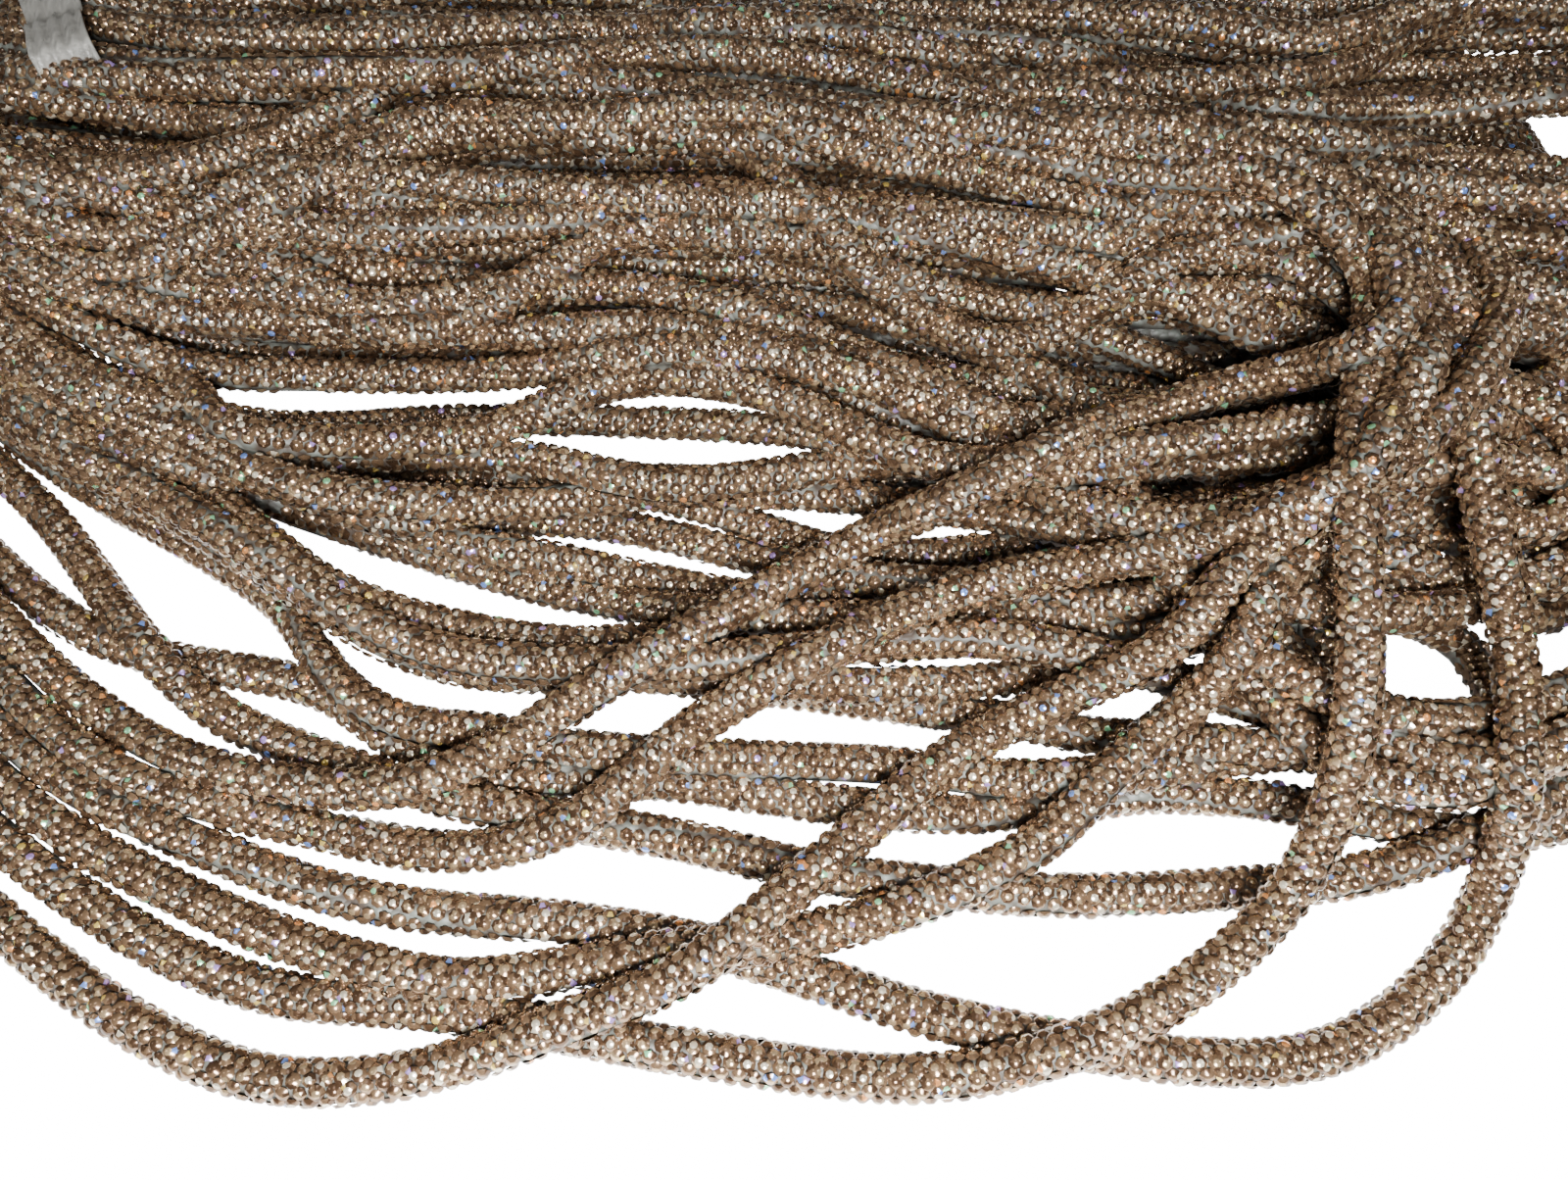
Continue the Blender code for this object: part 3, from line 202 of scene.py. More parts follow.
# Backs of the turns, left to right: each row carries on the front in the same row above
BACKS = (
    Pass("back 20", (
        (-165, 252), (-130, 247), (-95, 250), (-60, 254), (0, 256), (40, 253), (80, 249), (115, 246),
        (145, 248), (174, 250))),
    Pass("back 19", (
        (-165, 246), (-130, 241), (-95, 243), (-60, 246), (0, 248), (40, 244), (80, 239), (115, 234.1),
        (145, 240), (174, 240))),
    Pass("back 18", (
        (-165, 240), (-130, 235), (-95, 236), (-60, 239), (0, 240), (40, 235), (80, 229), (115, 221.1),
        (145, 220), (174, 221))),
    Pass("back 17", (
        (-165, 234), (-130, 229), (-95, 230), (-60, 233), (0, 232), (40, 226), (80, 219), (110, 212.2),
        (140, 213), (172, 214))),
    Pass("back 14", (
        (-165, 236), (-120, 232), (-80, 229), (-40, 228), (0, 226), (40, 218), (75, 211), (105, 205.6),
        (135, 206), (170, 207))),
    Pass("back 8", (
        (-165, 199), (-140, 191), (-110, 186), (-80, 182), (-50, 185), (-20, 186), (5, 185), (30, 178),
        (60, 170), (90, 168), (140, 155))),
    Pass("back 7", (
        (-165, 194), (-140, 184), (-110, 177), (-80, 173), (-50, 177), (-20, 178), (10, 177), (40, 168),
        (65, 160), (90, 163), (140, 148))),
    Pass("back 6", (
        (-160, 188), (-130, 178), (-100, 170), (-75, 166), (-50, 168), (-20, 171), (10, 170), (40, 161),
        (70, 152), (95, 156), (135, 142.5))),
    Pass("back 5", (
        (-155, 182), (-125, 168), (-100, 163), (-80, 156), (-60, 155), (-30, 158), (0, 152), (25, 156),
        (50, 155), (75, 145), (100, 146), (135, 134.5))),
    Pass("back 28", (
        (-165, 226), (-125, 221), (-85, 219), (-45, 220), (0, 219), (40, 213), (80, 209), (110, 208.9),
        (140, 225), (172, 228))),
    Pass("back 29", (
        (-165, 238), (-125, 234), (-85, 235), (-45, 237), (0, 236), (40, 231), (80, 225), (110, 217.9),
        (140, 233), (172, 234))),
    Pass("back 30", (
        (-165, 210), (-125, 203), (-85, 199), (-45, 200), (0, 198), (40, 191), (80, 184), (110, 182),
        (140, 176), (160, 172))),
    Pass("back 21", (
        (-165, 232), (-120, 228), (-80, 226), (-40, 224), (0, 222), (40, 214), (75, 206), (100, 203),
        (130, 200), (168, 200))),
    Pass("back 22", (
        (-165, 220), (-120, 214), (-80, 210), (-40, 210), (0, 208), (40, 202), (75, 194), (100, 191),
        (125, 184.5), (160, 176))),
    Pass("back 23", (
        (-165, 213), (-125, 206), (-90, 202), (-50, 203), (-10, 203), (30, 196), (65, 187), (95, 184),
        (125, 177.5), (158, 169))),
    Pass("back 24", (
        (-165, 203), (-125, 196), (-90, 192), (-50, 197), (-10, 196), (30, 190), (65, 181), (95, 178),
        (125, 171.5), (152, 165))),
    Pass("back 25", (
        (-165, 168), (-129, 150), (-96, 163), (-62, 187), (-20, 190), (20, 184), (60, 175), (92, 171),
        (120, 166), (148, 160))),
    Pass("back 26", (
        (-160, 191), (-125, 181), (-95, 176), (-60, 176), (-20, 176), (20, 170), (50, 162), (80, 158),
        (105, 159.5), (140, 148))),
    Pass("back 27", (
        (-155, 185), (-125, 174), (-95, 168), (-60, 163), (-20, 163), (15, 163), (45, 158), (72, 150),
        (100, 151), (136, 138))),
    Pass("back 4", (
        (-150, 176), (-125, 163), (-105, 157), (-88, 156), (-66, 140), (-53, 146), (-43, 156), (-28, 166),
        (-5, 163), (15, 157), (30, 150), (50, 146), (75, 150), (95, 140), (130, 146))),
    Pass("back 3", (
        (-150, 170), (-125, 157), (-105, 151), (-88, 150), (-70, 147), (-50, 151), (-35, 152), (-15, 149),
        (0, 143), (20, 132), (38, 121), (50, 112), (60, 100), (75, 88), (100, 86), (122, 95))),
    Pass("back 2", (
        (-150, 164), (-125, 151), (-105, 145), (-90, 144), (-75, 141.5), (-62, 142), (-45, 141), (-20, 142),
        (0, 137), (20, 127), (33, 117), (50, 106), (60, 92), (70, 78), (90, 68), (112, 72))),
    Pass("over gap", (
        (-150, 158), (-120, 141), (-107, 135), (-95, 132), (-80, 131.5), (-55, 131.5), (-40, 133),
        (-25, 137), (-5, 136), (15, 130), (35, 122), (60, 124), (90, 132), (125, 140))),
    Pass("hanging loop", (
        (-160, 200), (-120, 198), (-80, 195), (-40, 196), (-15, 191), (0, 179), (9, 166), (16, 154),
        (25, 144), (35, 139), (45, 140), (54, 147), (64, 155), (76, 161), (88, 160), (97, 153), (103, 140),
        (108, 120), (114, 100))),
    Pass("back 13", (
        (-165, 229), (-120, 225), (-80, 222), (-40, 221), (0, 219), (35, 212), (65, 204), (95, 200),
        (125, 195), (165, 193))),
    Pass("back 11", (
        (-168, 190), (-132, 180), (-102, 188), (-74, 205), (-45, 206), (-15, 207), (15, 201), (40, 195),
        (65, 188), (90, 183), (120, 180), (155, 169.5))),
    Pass("back 10", (
        (-168, 182), (-144, 172), (-119, 164), (-98, 180), (-68, 199), (-40, 199), (-10, 200), (15, 193),
        (40, 186), (65, 181), (90, 178), (115, 175.5), (150, 164))),
    Pass("back 12", (
        (-165, 222), (-130, 218), (-100, 214), (-70, 212), (-40, 214), (-10, 213), (20, 208), (50, 200),
        (75, 194), (95, 192), (120, 188), (160, 185))),
    Pass("back 9", (
        (-166, 178), (-142, 166), (-121, 156), (-99, 170), (-75, 188), (-45, 192), (-15, 193), (10, 189),
        (35, 182), (60, 176), (88, 172), (110, 171), (145, 159.5))),
    Pass("rising strand", (
        (-150, 163), (-130, 162), (-112, 167), (-98, 174), (-84, 184), (-75, 193), (-66, 203), (-54, 210),
        (-38, 210), (-15, 207), (0, 198), (15, 188), (35, 181), (60, 172), (85, 164), (102, 160),
        (140, 170))),
)


def distances(points: np.ndarray) -> np.ndarray:
    """Return how far along a line each of its points lies."""
    return np.concatenate([[0.0], np.cumsum(np.linalg.norm(np.diff(points, axis=0), axis=1))])


def read_at(places: np.ndarray, known: np.ndarray, table: np.ndarray) -> np.ndarray:
    """Return a table's rows, given at known places, read at other places."""
    return np.stack([np.interp(places, known, table[:, k]) for k in range(3)], axis=1)


def shown(name: str, data: bpy.types.ID) -> bpy.types.Object:
    """Put a mesh, curve, light or camera into the scene.

    Args:
        name: The object's name.
        data: What the object holds.

    Returns:
        The new object.
    """
    made = bpy.data.objects.new(name, data)
    bpy.context.scene.collection.objects.link(made)
    return made


def facing_out(shape: bmesh.types.BMesh) -> None:
    """Turn the faces of an open shape so that they look up and out.

    Args:
        shape: The shape, which has no underside.
    """
    bmesh.ops.recalc_face_normals(shape, faces=shape.faces)
    if sum(face.normal.z for face in shape.faces) < 0:
        bmesh.ops.reverse_faces(shape, faces=shape.faces)


@dataclass(frozen=True)
class Laying:
    """How the turns lie over each other, with sizes in mm from the viewpoint's foot."""

    cord_diameter: float = 6.0
    eye_height: float = 158.0
    reading_height: float = 3.0
    origin_across: float = -11.3
    origin_away: float = 130.0
    sunk: float = 1.0
    pile_near: float = 122.0
    pile_crest: float = 196.0
    pile_back: float = 232.0
    pile_end: float = 272.0
    pile_low: float = 7.0
    pile_high: float = 25.0
    pile_right_from: float = 40.0
    pile_right_to: float = 110.0
    pile_right_lift: float = 5.0
    stray_aside: float = 3.6
    stray_up: float = 2.6
    stray_length: float = 28.0
    stray_turn: float = 1.7
    stray_from: float = 178.0
    stray_to: float = 205.0
    left_reach: float = 26.0
    left_reach_share: float = 0.42
    right_reach: float = 12.0
    right_reach_share: float = 0.22
    bend_layers: int = 3
    bend_layer_height: float = 5.6
    upright_from: int = 24
    upright_trim: float = 90.0
    inner_turns: int = 8
    inner_layers: int = 2
    inner_left: float = -165.0
    inner_right: float = 122.0
    inner_steps: int = 9
    inner_near: float = 150.0
    inner_far: float = 232.0
    inner_spacing: float = 5.2
    inner_wave: float = 3.0
    inner_wave_length: float = 31.0
    inner_wave_turn: float = 0.35
    inner_reach: float = 22.0
    inner_slant: float = 38.0
    inner_slant_from: float = -40.0
    inner_slant_to: float = 60.0
    step_length: float = 4.0
    lift_reach: float = 8.5
    settled_share: float = 0.86
    laying_rounds: int = 3
    smoothing_rounds: int = 5

    @property
    def cord_radius(self) -> float:
        """Return half the cord's thickness in mm."""
        return self.cord_diameter / 2

    @staticmethod
    def smooth_step(value: float, low: float, high: float) -> float:
        """Return 0 below low, 1 above high, and an even rise between."""
        share = np.clip((value - low) / (high - low), 0.0, 1.0)
        return float(share * share * (3 - 2 * share))

    def pile_height(self, across: float, away: float) -> float:
        """Return the height of a cord's middle on top of the bundle.

        Args:
            across: Distance to the right of the viewpoint, in mm.
            away: Distance in front of the viewpoint, in mm.

        Returns:
            The height over the surface in mm.
        """
        rise = self.pile_low + (self.pile_high - self.pile_low) * self.smooth_step(
            away, self.pile_near, self.pile_crest)
        falling = self.smooth_step(away, self.pile_back, self.pile_end)
        fall = (self.pile_high - self.cord_radius) * falling
        right = self.pile_right_lift * self.smooth_step(across, self.pile_right_from, self.pile_right_to)
        return max(rise - fall + right * (1 - falling), self.cord_radius)

    def stray(self, across: float, away: float, index: int) -> tuple[float, float]:
        """Return how far a cord strays sideways and up in the rear of the bundle.

        Args:
            across: Distance to the right of the viewpoint, in mm.
            away: Distance in front of the viewpoint, in mm.
            index: Which of the turns, from 0.

        Returns:
            The distances sideways and up in mm.
        """
        share = self.smooth_step(away, self.stray_from, self.stray_to)
        angle = across / self.stray_length + self.stray_turn * index
        return self.stray_aside * share * math.sin(angle), self.stray_up * share * math.cos(angle)

    @staticmethod
    def bend(start: tuple, end: tuple, side: int, reach: float, height: float) -> list[tuple]:
        """Return three points of a half oval that turns from start to end.

        Args:
            start: Where the oval starts.
            end: Where the oval ends.
            side: 1 to turn out to the right, -1 to the left.
            reach: How far the oval stands out, in mm.
            height: The height of the three points, in mm.

        Returns:
            The points as (across, away, height).
        """
        middle = ((start[0] + end[0]) / 2, (start[1] + end[1]) / 2)
        half = (start[0] - middle[0], start[1] - middle[1])
        points = []
        for degrees in (45, 90, 135):
            angle = math.radians(degrees)
            points.append((middle[0] + half[0] * math.cos(angle) + side * reach * math.sin(angle),
                           middle[1] + half[1] * math.cos(angle), height))
        return points

    def front(self, index: int) -> list[tuple]:
        """Return a front's points, on the surface where they state no height."""
        return [(*point, self.cord_radius)[:3] for point in FRONTS[index].points]

    def inner_turn(self, index: int) -> list[tuple]:
        """Return a short turn's points: it lies low, all inside the bundle.

        Args:
            index: Which of the short turns, from 0.

        Returns:
            The points as (across, away, height).
        """
        height = self.cord_radius + self.bend_layer_height * (index % self.inner_layers)
        places = np.linspace(self.inner_left, self.inner_right, self.inner_steps)
        passes = []
        for away, heading in ((self.inner_near + self.inner_spacing * index, 1),
                              (self.inner_far - self.inner_spacing * index, -1)):
            wave = self.inner_wave * np.sin(places / self.inner_wave_length + self.inner_wave_turn * index)
            if heading == 1:
                wave -= self.inner_slant * np.array([
                    self.smooth_step(x, self.inner_slant_from, self.inner_slant_to) for x in places])
            passes.append([(x, away + shift, height) for x, shift in zip(places, wave)][::heading])
        front, back = passes
        onward = (self.inner_left, self.inner_near + self.inner_spacing * (index + 1), height)
        if index + 1 == self.inner_turns:
            onward = self.front(0)[0]
        right = self.bend(front[-1], back[0], 1, self.inner_reach, height)
        left = self.bend(back[-1], onward, -1, self.inner_reach, height) + [onward]
        return front + right + back + left

    def outer_turn(self, index: int) -> list[tuple]:
        """Return one turn's points: front, right end, back and the way to the next front.

        Args:
            index: Which row of the tables, from 0.

        Returns:
            The points as (across, away, height).
        """
        front = self.front(index)
        back = []
        for x, y in reversed(BACKS[index].points):
            aside, up = self.stray(x, y, index)
            back.append((x, y + aside, self.pile_height(x, y) + up))
        layer = self.cord_radius + self.bend_layer_height * (index % self.bend_layers)
        if index >= self.upright_from:
            back = [point for point in back if point[0] < self.upright_trim]
            right = []
        else:
            reach = self.right_reach + self.right_reach_share * abs(back[0][1] - front[-1][1]) / 2
            right = self.bend(front[-1], back[0], 1, reach, layer)
        left = []
        if index + 1 < len(FRONTS):
            onward = self.front(index + 1)[0]
            reach = self.left_reach + self.left_reach_share * abs(back[-1][1] - onward[1]) / 2
            left = self.bend(back[-1], onward, -1, reach, layer) + [onward]
        return front + right + back + left

    @staticmethod
    def spline(points: list[tuple], spacing: float) -> np.ndarray:
        """Return evenly spaced points on a smooth curve through the given ones.

        Args:
            points: The points to pass through, in mm.
            spacing: The distance between the points returned, in mm.

        Returns:
            The points as rows of three.
        """
        knots = np.asarray(points, float)
        knots = np.vstack([2 * knots[0] - knots[1], knots, 2 * knots[-1] - knots[-2]])
        dense = []
        for before, start, end, after in zip(knots[:-3], knots[1:-2], knots[2:-1], knots[3:]):
            pairs = ((before, start), (start, end), (end, after))
            gaps = [max(np.linalg.norm(b - a), 1e-6) ** 0.5 for a, b in pairs]
            leave = ((start - before) / gaps[0] - (end - before) / (gaps[0] + gaps[1])
                     + (end - start) / gaps[1]) * gaps[1]
            arrive = ((end - start) / gaps[1] - (after - start) / (gaps[1] + gaps[2])
                      + (after - end) / gaps[2]) * gaps[1]
            share = np.linspace(0, 1, SPAN_STEPS + 1)[:-1, None]
            dense.append((2 * share**3 - 3 * share**2 + 1) * start
                         + (share**3 - 2 * share**2 + share) * leave
                         + (3 * share**2 - 2 * share**3) * end + (share**3 - share**2) * arrive)
        dense = np.vstack(dense + [knots[-2:-1]])
        lengths = distances(dense)
        count = max(int(round(lengths[-1] / spacing)), 2) + 1
        return read_at(np.linspace(0, lengths[-1], count), lengths, dense)

    def along_sight(self, points: np.ndarray) -> np.ndarray:
        """Move points read on the level plane along their lines of sight to their heights."""
        share = (self.eye_height - points[:, 2:]) / (self.eye_height - self.reading_height)
        return np.hstack([points[:, :2] * share, points[:, 2:]])

    def even_out(self, heights: np.ndarray) -> np.ndarray:
        """Even out a turn's heights along its length, down to the surface that it lies on.

        Args:
            heights: The heights of its points in mm.

        Returns:
            The evened heights.
        """
        for _ in range(self.smoothing_rounds):
            padded = np.pad(heights, 1, mode="edge")
            evened = (padded[:-2] + 2 * padded[1:-1] + padded[2:]) / 4
            heights = np.maximum(self.cord_radius, evened)
        return heights

    def lift_over(self, route: np.ndarray, floor: np.ndarray, laid: np.ndarray) -> np.ndarray:
        """Return the heights at which a route passes over what lies just below it.

        Args:
            route: The route's points in mm.
            floor: The lowest height of each point in mm.
            laid: The points of all turns laid before, in mm.

        Returns:
            A height for each point in mm.
        """
        if not len(laid):
            return floor
        gap = route[:, None, :2] - laid[None, :, :2]
        apart = np.einsum("ijk,ijk->ij", gap, gap)
        settled = self.cord_diameter * self.settled_share
        near = (apart < settled**2) & (laid[None, :, 2] < floor[:, None] + self.lift_reach)
        top = np.where(near, laid[None, :, 2] + np.sqrt(np.maximum(settled**2 - apart, 0)), 0)
        return np.maximum(floor, top.max(axis=1))

    def lay_turns(self) -> list[np.ndarray]:
        """Lay every turn over those before it.

        Returns:
            Each turn's route in mm.
        """
        laid = np.zeros((0, 3))
        turns = []
        inner = [self.inner_turn(index) for index in range(self.inner_turns)]
        outer = [self.outer_turn(index) for index in range(len(FRONTS))]
        for points in inner + outer:
            read = self.spline(points, self.step_length)
            floor = np.maximum(read[:, 2], self.cord_radius)
            heights = floor
            for _ in range(self.laying_rounds):
                route = self.along_sight(np.column_stack([read[:, :2], heights]))
                heights = self.even_out(self.lift_over(route, floor, laid))
            route = self.along_sight(np.column_stack([read[:, :2], heights]))
            turns.append(route)
            laid = np.vstack([laid, route])
        return turns

    def place(self, points: np.ndarray) -> np.ndarray:
        """Return points in mm from the viewpoint's foot as metres in the frame."""
        return (np.asarray(points, float) - (self.origin_across, self.origin_away, self.sunk)) * MM


@dataclass
class CordPath:
    """The cord's middle line in even steps, with a slowly turning frame at each, in metres."""

    points: np.ndarray
    step: float
    ahead: np.ndarray
    side: np.ndarray
    up: np.ndarray

    @classmethod
    def through(cls, turns: list[np.ndarray], laying: Laying, step: float, seed: int) -> "CordPath":
        """Return the path through all turns, rounded and with the cord's own slow twist.

        Args:
            turns: Every turn's route in mm.
            laying: The sizes that place the routes in the frame.
            step: The distance between the path's points in metres.
            seed: The number that the twist is drawn from.

        Returns:
            The path with its frames.
        """
        rough = laying.place(np.vstack(turns))
        lengths = distances(rough)
        places = np.arange(0, lengths[-1], step)
        points = read_at(places, lengths, rough)
        weights = np.hanning(2 * ROUNDING_REACH + 3)[1:-1]
        weights /= weights.sum()
        padded = np.pad(points, ((ROUNDING_REACH, ROUNDING_REACH), (0, 0)), mode="edge")
        points = np.stack([np.convolve(padded[:, k], weights, mode="valid") for k in range(3)], axis=1)
        ahead = np.gradient(points, axis=0)
        ahead /= np.linalg.norm(ahead, axis=1)[:, None]
        carried = np.empty_like(points)
        side = np.cross(ahead[0], (0.0, 0.0, 1.0))
        for index, heading in enumerate(ahead):
            side = side - heading * side.dot(heading)
            side = side / math.sqrt(side.dot(side))
            carried[index] = side
        other = np.cross(ahead, carried)
        draw = np.random.default_rng(seed)
        twist = np.zeros(len(points))
        for wave_length in TWIST_LENGTHS:
            phase = draw.uniform(0, 2 * math.pi)
            twist += TWIST * np.sin(2 * math.pi * places / wave_length + phase)
        cosine, sine = np.cos(twist)[:, None], np.sin(twist)[:, None]
        return cls(points, step, ahead, cosine * carried + sine * other, cosine * other - sine * carried)

    @property
    def length(self) -> float:
        """Return the path's length in metres."""
        return self.step * (len(self.points) - 1)

    def at(self, places: np.ndarray, table: np.ndarray) -> np.ndarray:
        """Return a table's rows read at places along the path, in metres from its start."""
        return read_at(places / self.step, np.arange(len(table)), table)


class StoneCut(Enum):
    """How finely a stone is cut, by how much of it shows: its sides and its table's share of its width."""

    BRILLIANT = (7, 0.50)
    PLAIN = (6, 0.50)
    CHIP = (5, 0.0)

    @property
    def triangles(self) -> int:
        """Return how many triangles one stone of this cut has."""
        sides, table = self.value
        return sides * 2 + sides - 2 if table else sides


class Shading:
    """A material in the making: its nodes are added and wired up one by one."""

    def __init__(self, name: str, values: dict[str, float | tuple]) -> None:
        """Start the material.

        Args:
            name: The material's name.
            values: The shader's constants, by socket.
        """
        self.material = bpy.data.materials.new(name)
        self.material.use_nodes = True
        self.tree = self.material.node_tree
        self.shader = self.tree.nodes["Principled BSDF"]
        self.set_values(self.shader, values)

    @staticmethod
    def set_values(node: bpy.types.Node, values: dict[str, float | tuple]) -> None:
        """Set a node's constants, by socket."""
        for socket, value in values.items():
            node.inputs[socket].default_value = value

    def add(self, kind: str, **values: float | tuple) -> bpy.types.Node:
        """Add a node.

        Args:
            kind: The node's type, without the words that all types start with.
            values: The node's constants, by socket, with underscores for spaces.

        Returns:
            The node.
        """
        node = self.tree.nodes.new(f"ShaderNode{kind}")
        self.set_values(node, {socket.replace("_", " "): value for socket, value in values.items()})
        return node

    def wire(self, source: bpy.types.Node, output: str, target: bpy.types.Node,
             socket: str | int) -> None:
        """Wire one node's output to another node's socket."""
        self.tree.links.new(source.outputs[output], target.inputs[socket])

    def on_object(self, node: bpy.types.Node) -> None:
        """Let a texture follow the piece itself."""
        self.wire(self.add("TexCoord"), "Object", node, "Vector")

    def between(self, source: bpy.types.Node, output: str, limits: Range, socket: str) -> None:
        """Drive a socket of the shader between two limits.

        Args:
            source: The node that drives it.
            output: Which of its outputs.
            limits: The socket's values at 0 and at 1.
            socket: The shader's socket.
        """
        spread = self.add("MapRange", To_Min=limits[0], To_Max=limits[1])
        self.wire(source, output, spread, "Value")
        self.wire(spread, "Result", self.shader, socket)

    def ramp(self, source: bpy.types.Node, output: str, places: Range,
             colours: tuple[Colour, Colour]) -> None:
        """Blend the shader's colour from one colour to another.

        Args:
            source: The node that drives it.
            output: Which of its outputs.
            places: The outputs at which the blend starts and ends.
            colours: The colours at its start and its end.
        """
        blend = self.add("ValToRGB")
        for element, place, colour in zip(blend.color_ramp.elements, places, colours):
            element.position = place
            element.color = (*colour, 1)
        self.wire(source, output, blend, "Fac")
        self.wire(blend, "Color", self.shader, "Base Color")

    def bump(self, source: bpy.types.Node, output: str, depth: float, invert: bool = False) -> None:
        """Raise the surface in bumps.

        Args:
            source: The node that drives them.
            output: Which of its outputs.
            depth: How high the bumps are, in metres.
            invert: Whether the output gives the depth of hollows instead.
        """
        bump = self.add("Bump", Distance=depth)
        bump.invert = invert
        self.wire(source, output, bump, "Height")
        self.wire(bump, "Normal", self.shader, "Normal")


@dataclass(frozen=True)
class FoiledStoneFinish:
    """Foiled champagne glass: each facet shows its champagne tone or a painted shade, sheen or glint,
    standing in for the light it throws back.
    """

    # A facet's four colours: a painted shade, the stones' own champagne, a painted sheen and a painted glint
    painted_shade: Colour = (0.10, 0.055, 0.030)
    champagne: Colour = (0.25, 0.155, 0.088)
    pale: Colour = (0.52, 0.37, 0.21)
    painted_glint: Colour = (0.95, 0.84, 0.64)
    # How often tables and crowns get each of the four: tables mostly painted sheen and glints, crowns mostly
    # painted shade
    table_shares: tuple[float, ...] = (0.04, 0.34, 0.36, 0.26)
    crown_shares: tuple[float, ...] = (0.42, 0.50, 0.06, 0.02)
    brightness: Range = (0.8, 1.1)
    # Painted glints of coloured fire, on a small share of the facets
    painted_fire_glints: tuple[Colour, ...] = ((0.25, 0.42, 1.0), (1.0, 0.72, 0.18), (1.0, 0.42, 0.14),
                                    (0.35, 0.85, 0.45), (0.62, 0.40, 0.95))
    painted_fire_share: float = 0.022
    roughness: float = 0.19
    metallic: float = 0.72
    coat: float = 0.35
    coat_roughness: float = 0.03
    cloud_scale: float = 60.0
    cloud_detail: float = 3.0
    cloud_tones: Range = (0.72, 1.12)
    cloud_gloss: Range = (0.6, 1.6)

    def facet_colours_and_painted_light(self, tables: np.ndarray, draw: np.random.Generator) -> np.ndarray:
        """Return a colour for each facet: its champagne tone, or a painted shade, sheen, glint or coloured
        glint.

        Args:
            tables: True for each facet that is a stone's flat table.
            draw: The seeded source of chance.

        Returns:
            Rows of red, green, blue and alpha.
        """
        steps = np.array([self.painted_shade, self.champagne, self.pale, self.painted_glint])
        chance = draw.random(len(tables))
        crown = np.searchsorted(np.cumsum(self.crown_shares)[:-1], chance)
        table = np.searchsorted(np.cumsum(self.table_shares)[:-1], chance)
        colours = steps[np.where(tables, table, crown)]
        colours *= draw.uniform(*self.brightness, (len(tables), 1))
        # A small share of facets get painted coloured glints of fire
        painted_fire_facets = draw.random(len(tables)) < self.painted_fire_share
        hues = np.array(self.painted_fire_glints)[draw.integers(len(self.painted_fire_glints), size=len(tables))]
        colours[painted_fire_facets] = hues[painted_fire_facets]
        return np.column_stack([np.clip(colours, 0, 1), np.ones(len(tables))])

    def material(self) -> bpy.types.Material:
        """Make the stones' material, which reads each facet's colour, painted shade and glints included.

        Returns:
            The material.
        """
        made = Shading("foiled_champagne_stones", {"Metallic": self.metallic, "Coat Weight": self.coat,
                                                   "Coat Roughness": self.coat_roughness})
        facet = made.add("Attribute")
        facet.attribute_name = "facet"
        cloud = made.add("TexNoise", Scale=self.cloud_scale, Detail=self.cloud_detail)
        made.on_object(cloud)
        shade = made.add("MapRange", To_Min=self.cloud_tones[0], To_Max=self.cloud_tones[1])
        made.wire(cloud, "Fac", shade, "Value")
        tone = made.add("VectorMath")
        tone.operation = "SCALE"
        made.wire(facet, "Color", tone, 0)
        made.wire(shade, "Result", tone, "Scale")
        made.wire(tone, "Vector", made.shader, "Base Color")
        glossy, dull = (self.roughness * share for share in self.cloud_gloss)
        made.between(cloud, "Fac", (glossy, dull), "Roughness")
        return made.material


@dataclass(frozen=True)
class NetFinish:
    """Grey-green net and glue between the stones, with painted shadow towards the edges of its cells."""

    shadow: Colour = (0.045, 0.033, 0.025)
    net: Colour = (0.13, 0.14, 0.122)
    blend: Range = (0.25, 0.75)
    roughness: float = 0.5
    cell: float = 0.002
    depth: float = 0.0006

    def material(self) -> bpy.types.Material:
        """Make the net's material: small cells with bumps and painted shadow at the stones' own spacing.

        Returns:
            The material.
        """
        made = Shading("grey_net", {"Roughness": self.roughness})
        cells = made.add("TexVoronoi", Scale=1 / self.cell)
        made.on_object(cells)
        # Painted shadow: each cell darkens from the net's colour to the shadow colour towards its edges
        made.ramp(cells, "Distance", self.blend, (self.net, self.shadow))
        made.bump(cells, "Distance", self.depth, invert=True)
        return made.material


@dataclass(frozen=True)
class FilmFinish:
    """Clouded clear film of the tie, with fine creases along it."""

    colour: Colour = (0.50, 0.49, 0.45)
    fold_shade: float = 0.7
    blend: Range = (0.35, 0.68)
    roughness: float = 0.28
    gloss: Range = (0.7, 1.5)
    transmission: float = 0.45
    refraction: float = 1.45
    crease_turn: float = math.radians(-26.9)
    crease_stretch: float = 0.06
    crease_scale: float = 900.0
    crease_detail: float = 4.0
    crease_depth: float = 0.0004

    def material(self) -> bpy.types.Material:
        """Make the film's material, with creases that run along the band, painted with shade.

        Returns:
            The material.
        """
        made = Shading("clouded_film", {"Transmission Weight": self.transmission, "IOR": self.refraction})
        turn = made.add("Mapping", Rotation=(0, 0, self.crease_turn), Scale=(1.0, self.crease_stretch, 1.0))
        made.on_object(turn)
        crease = made.add("TexNoise", Scale=self.crease_scale, Detail=self.crease_detail)
        made.wire(turn, "Vector", crease, "Vector")
        # Painted shade: the creases are a darker copy of the film's colour
        folds = tuple(self.fold_shade * part for part in self.colour)
        made.ramp(crease, "Fac", self.blend, (folds, self.colour))
        glossy, dull = (self.roughness * share for share in self.gloss)
        made.between(crease, "Fac", (glossy, dull), "Roughness")
        made.bump(crease, "Fac", self.crease_depth)
        return made.material


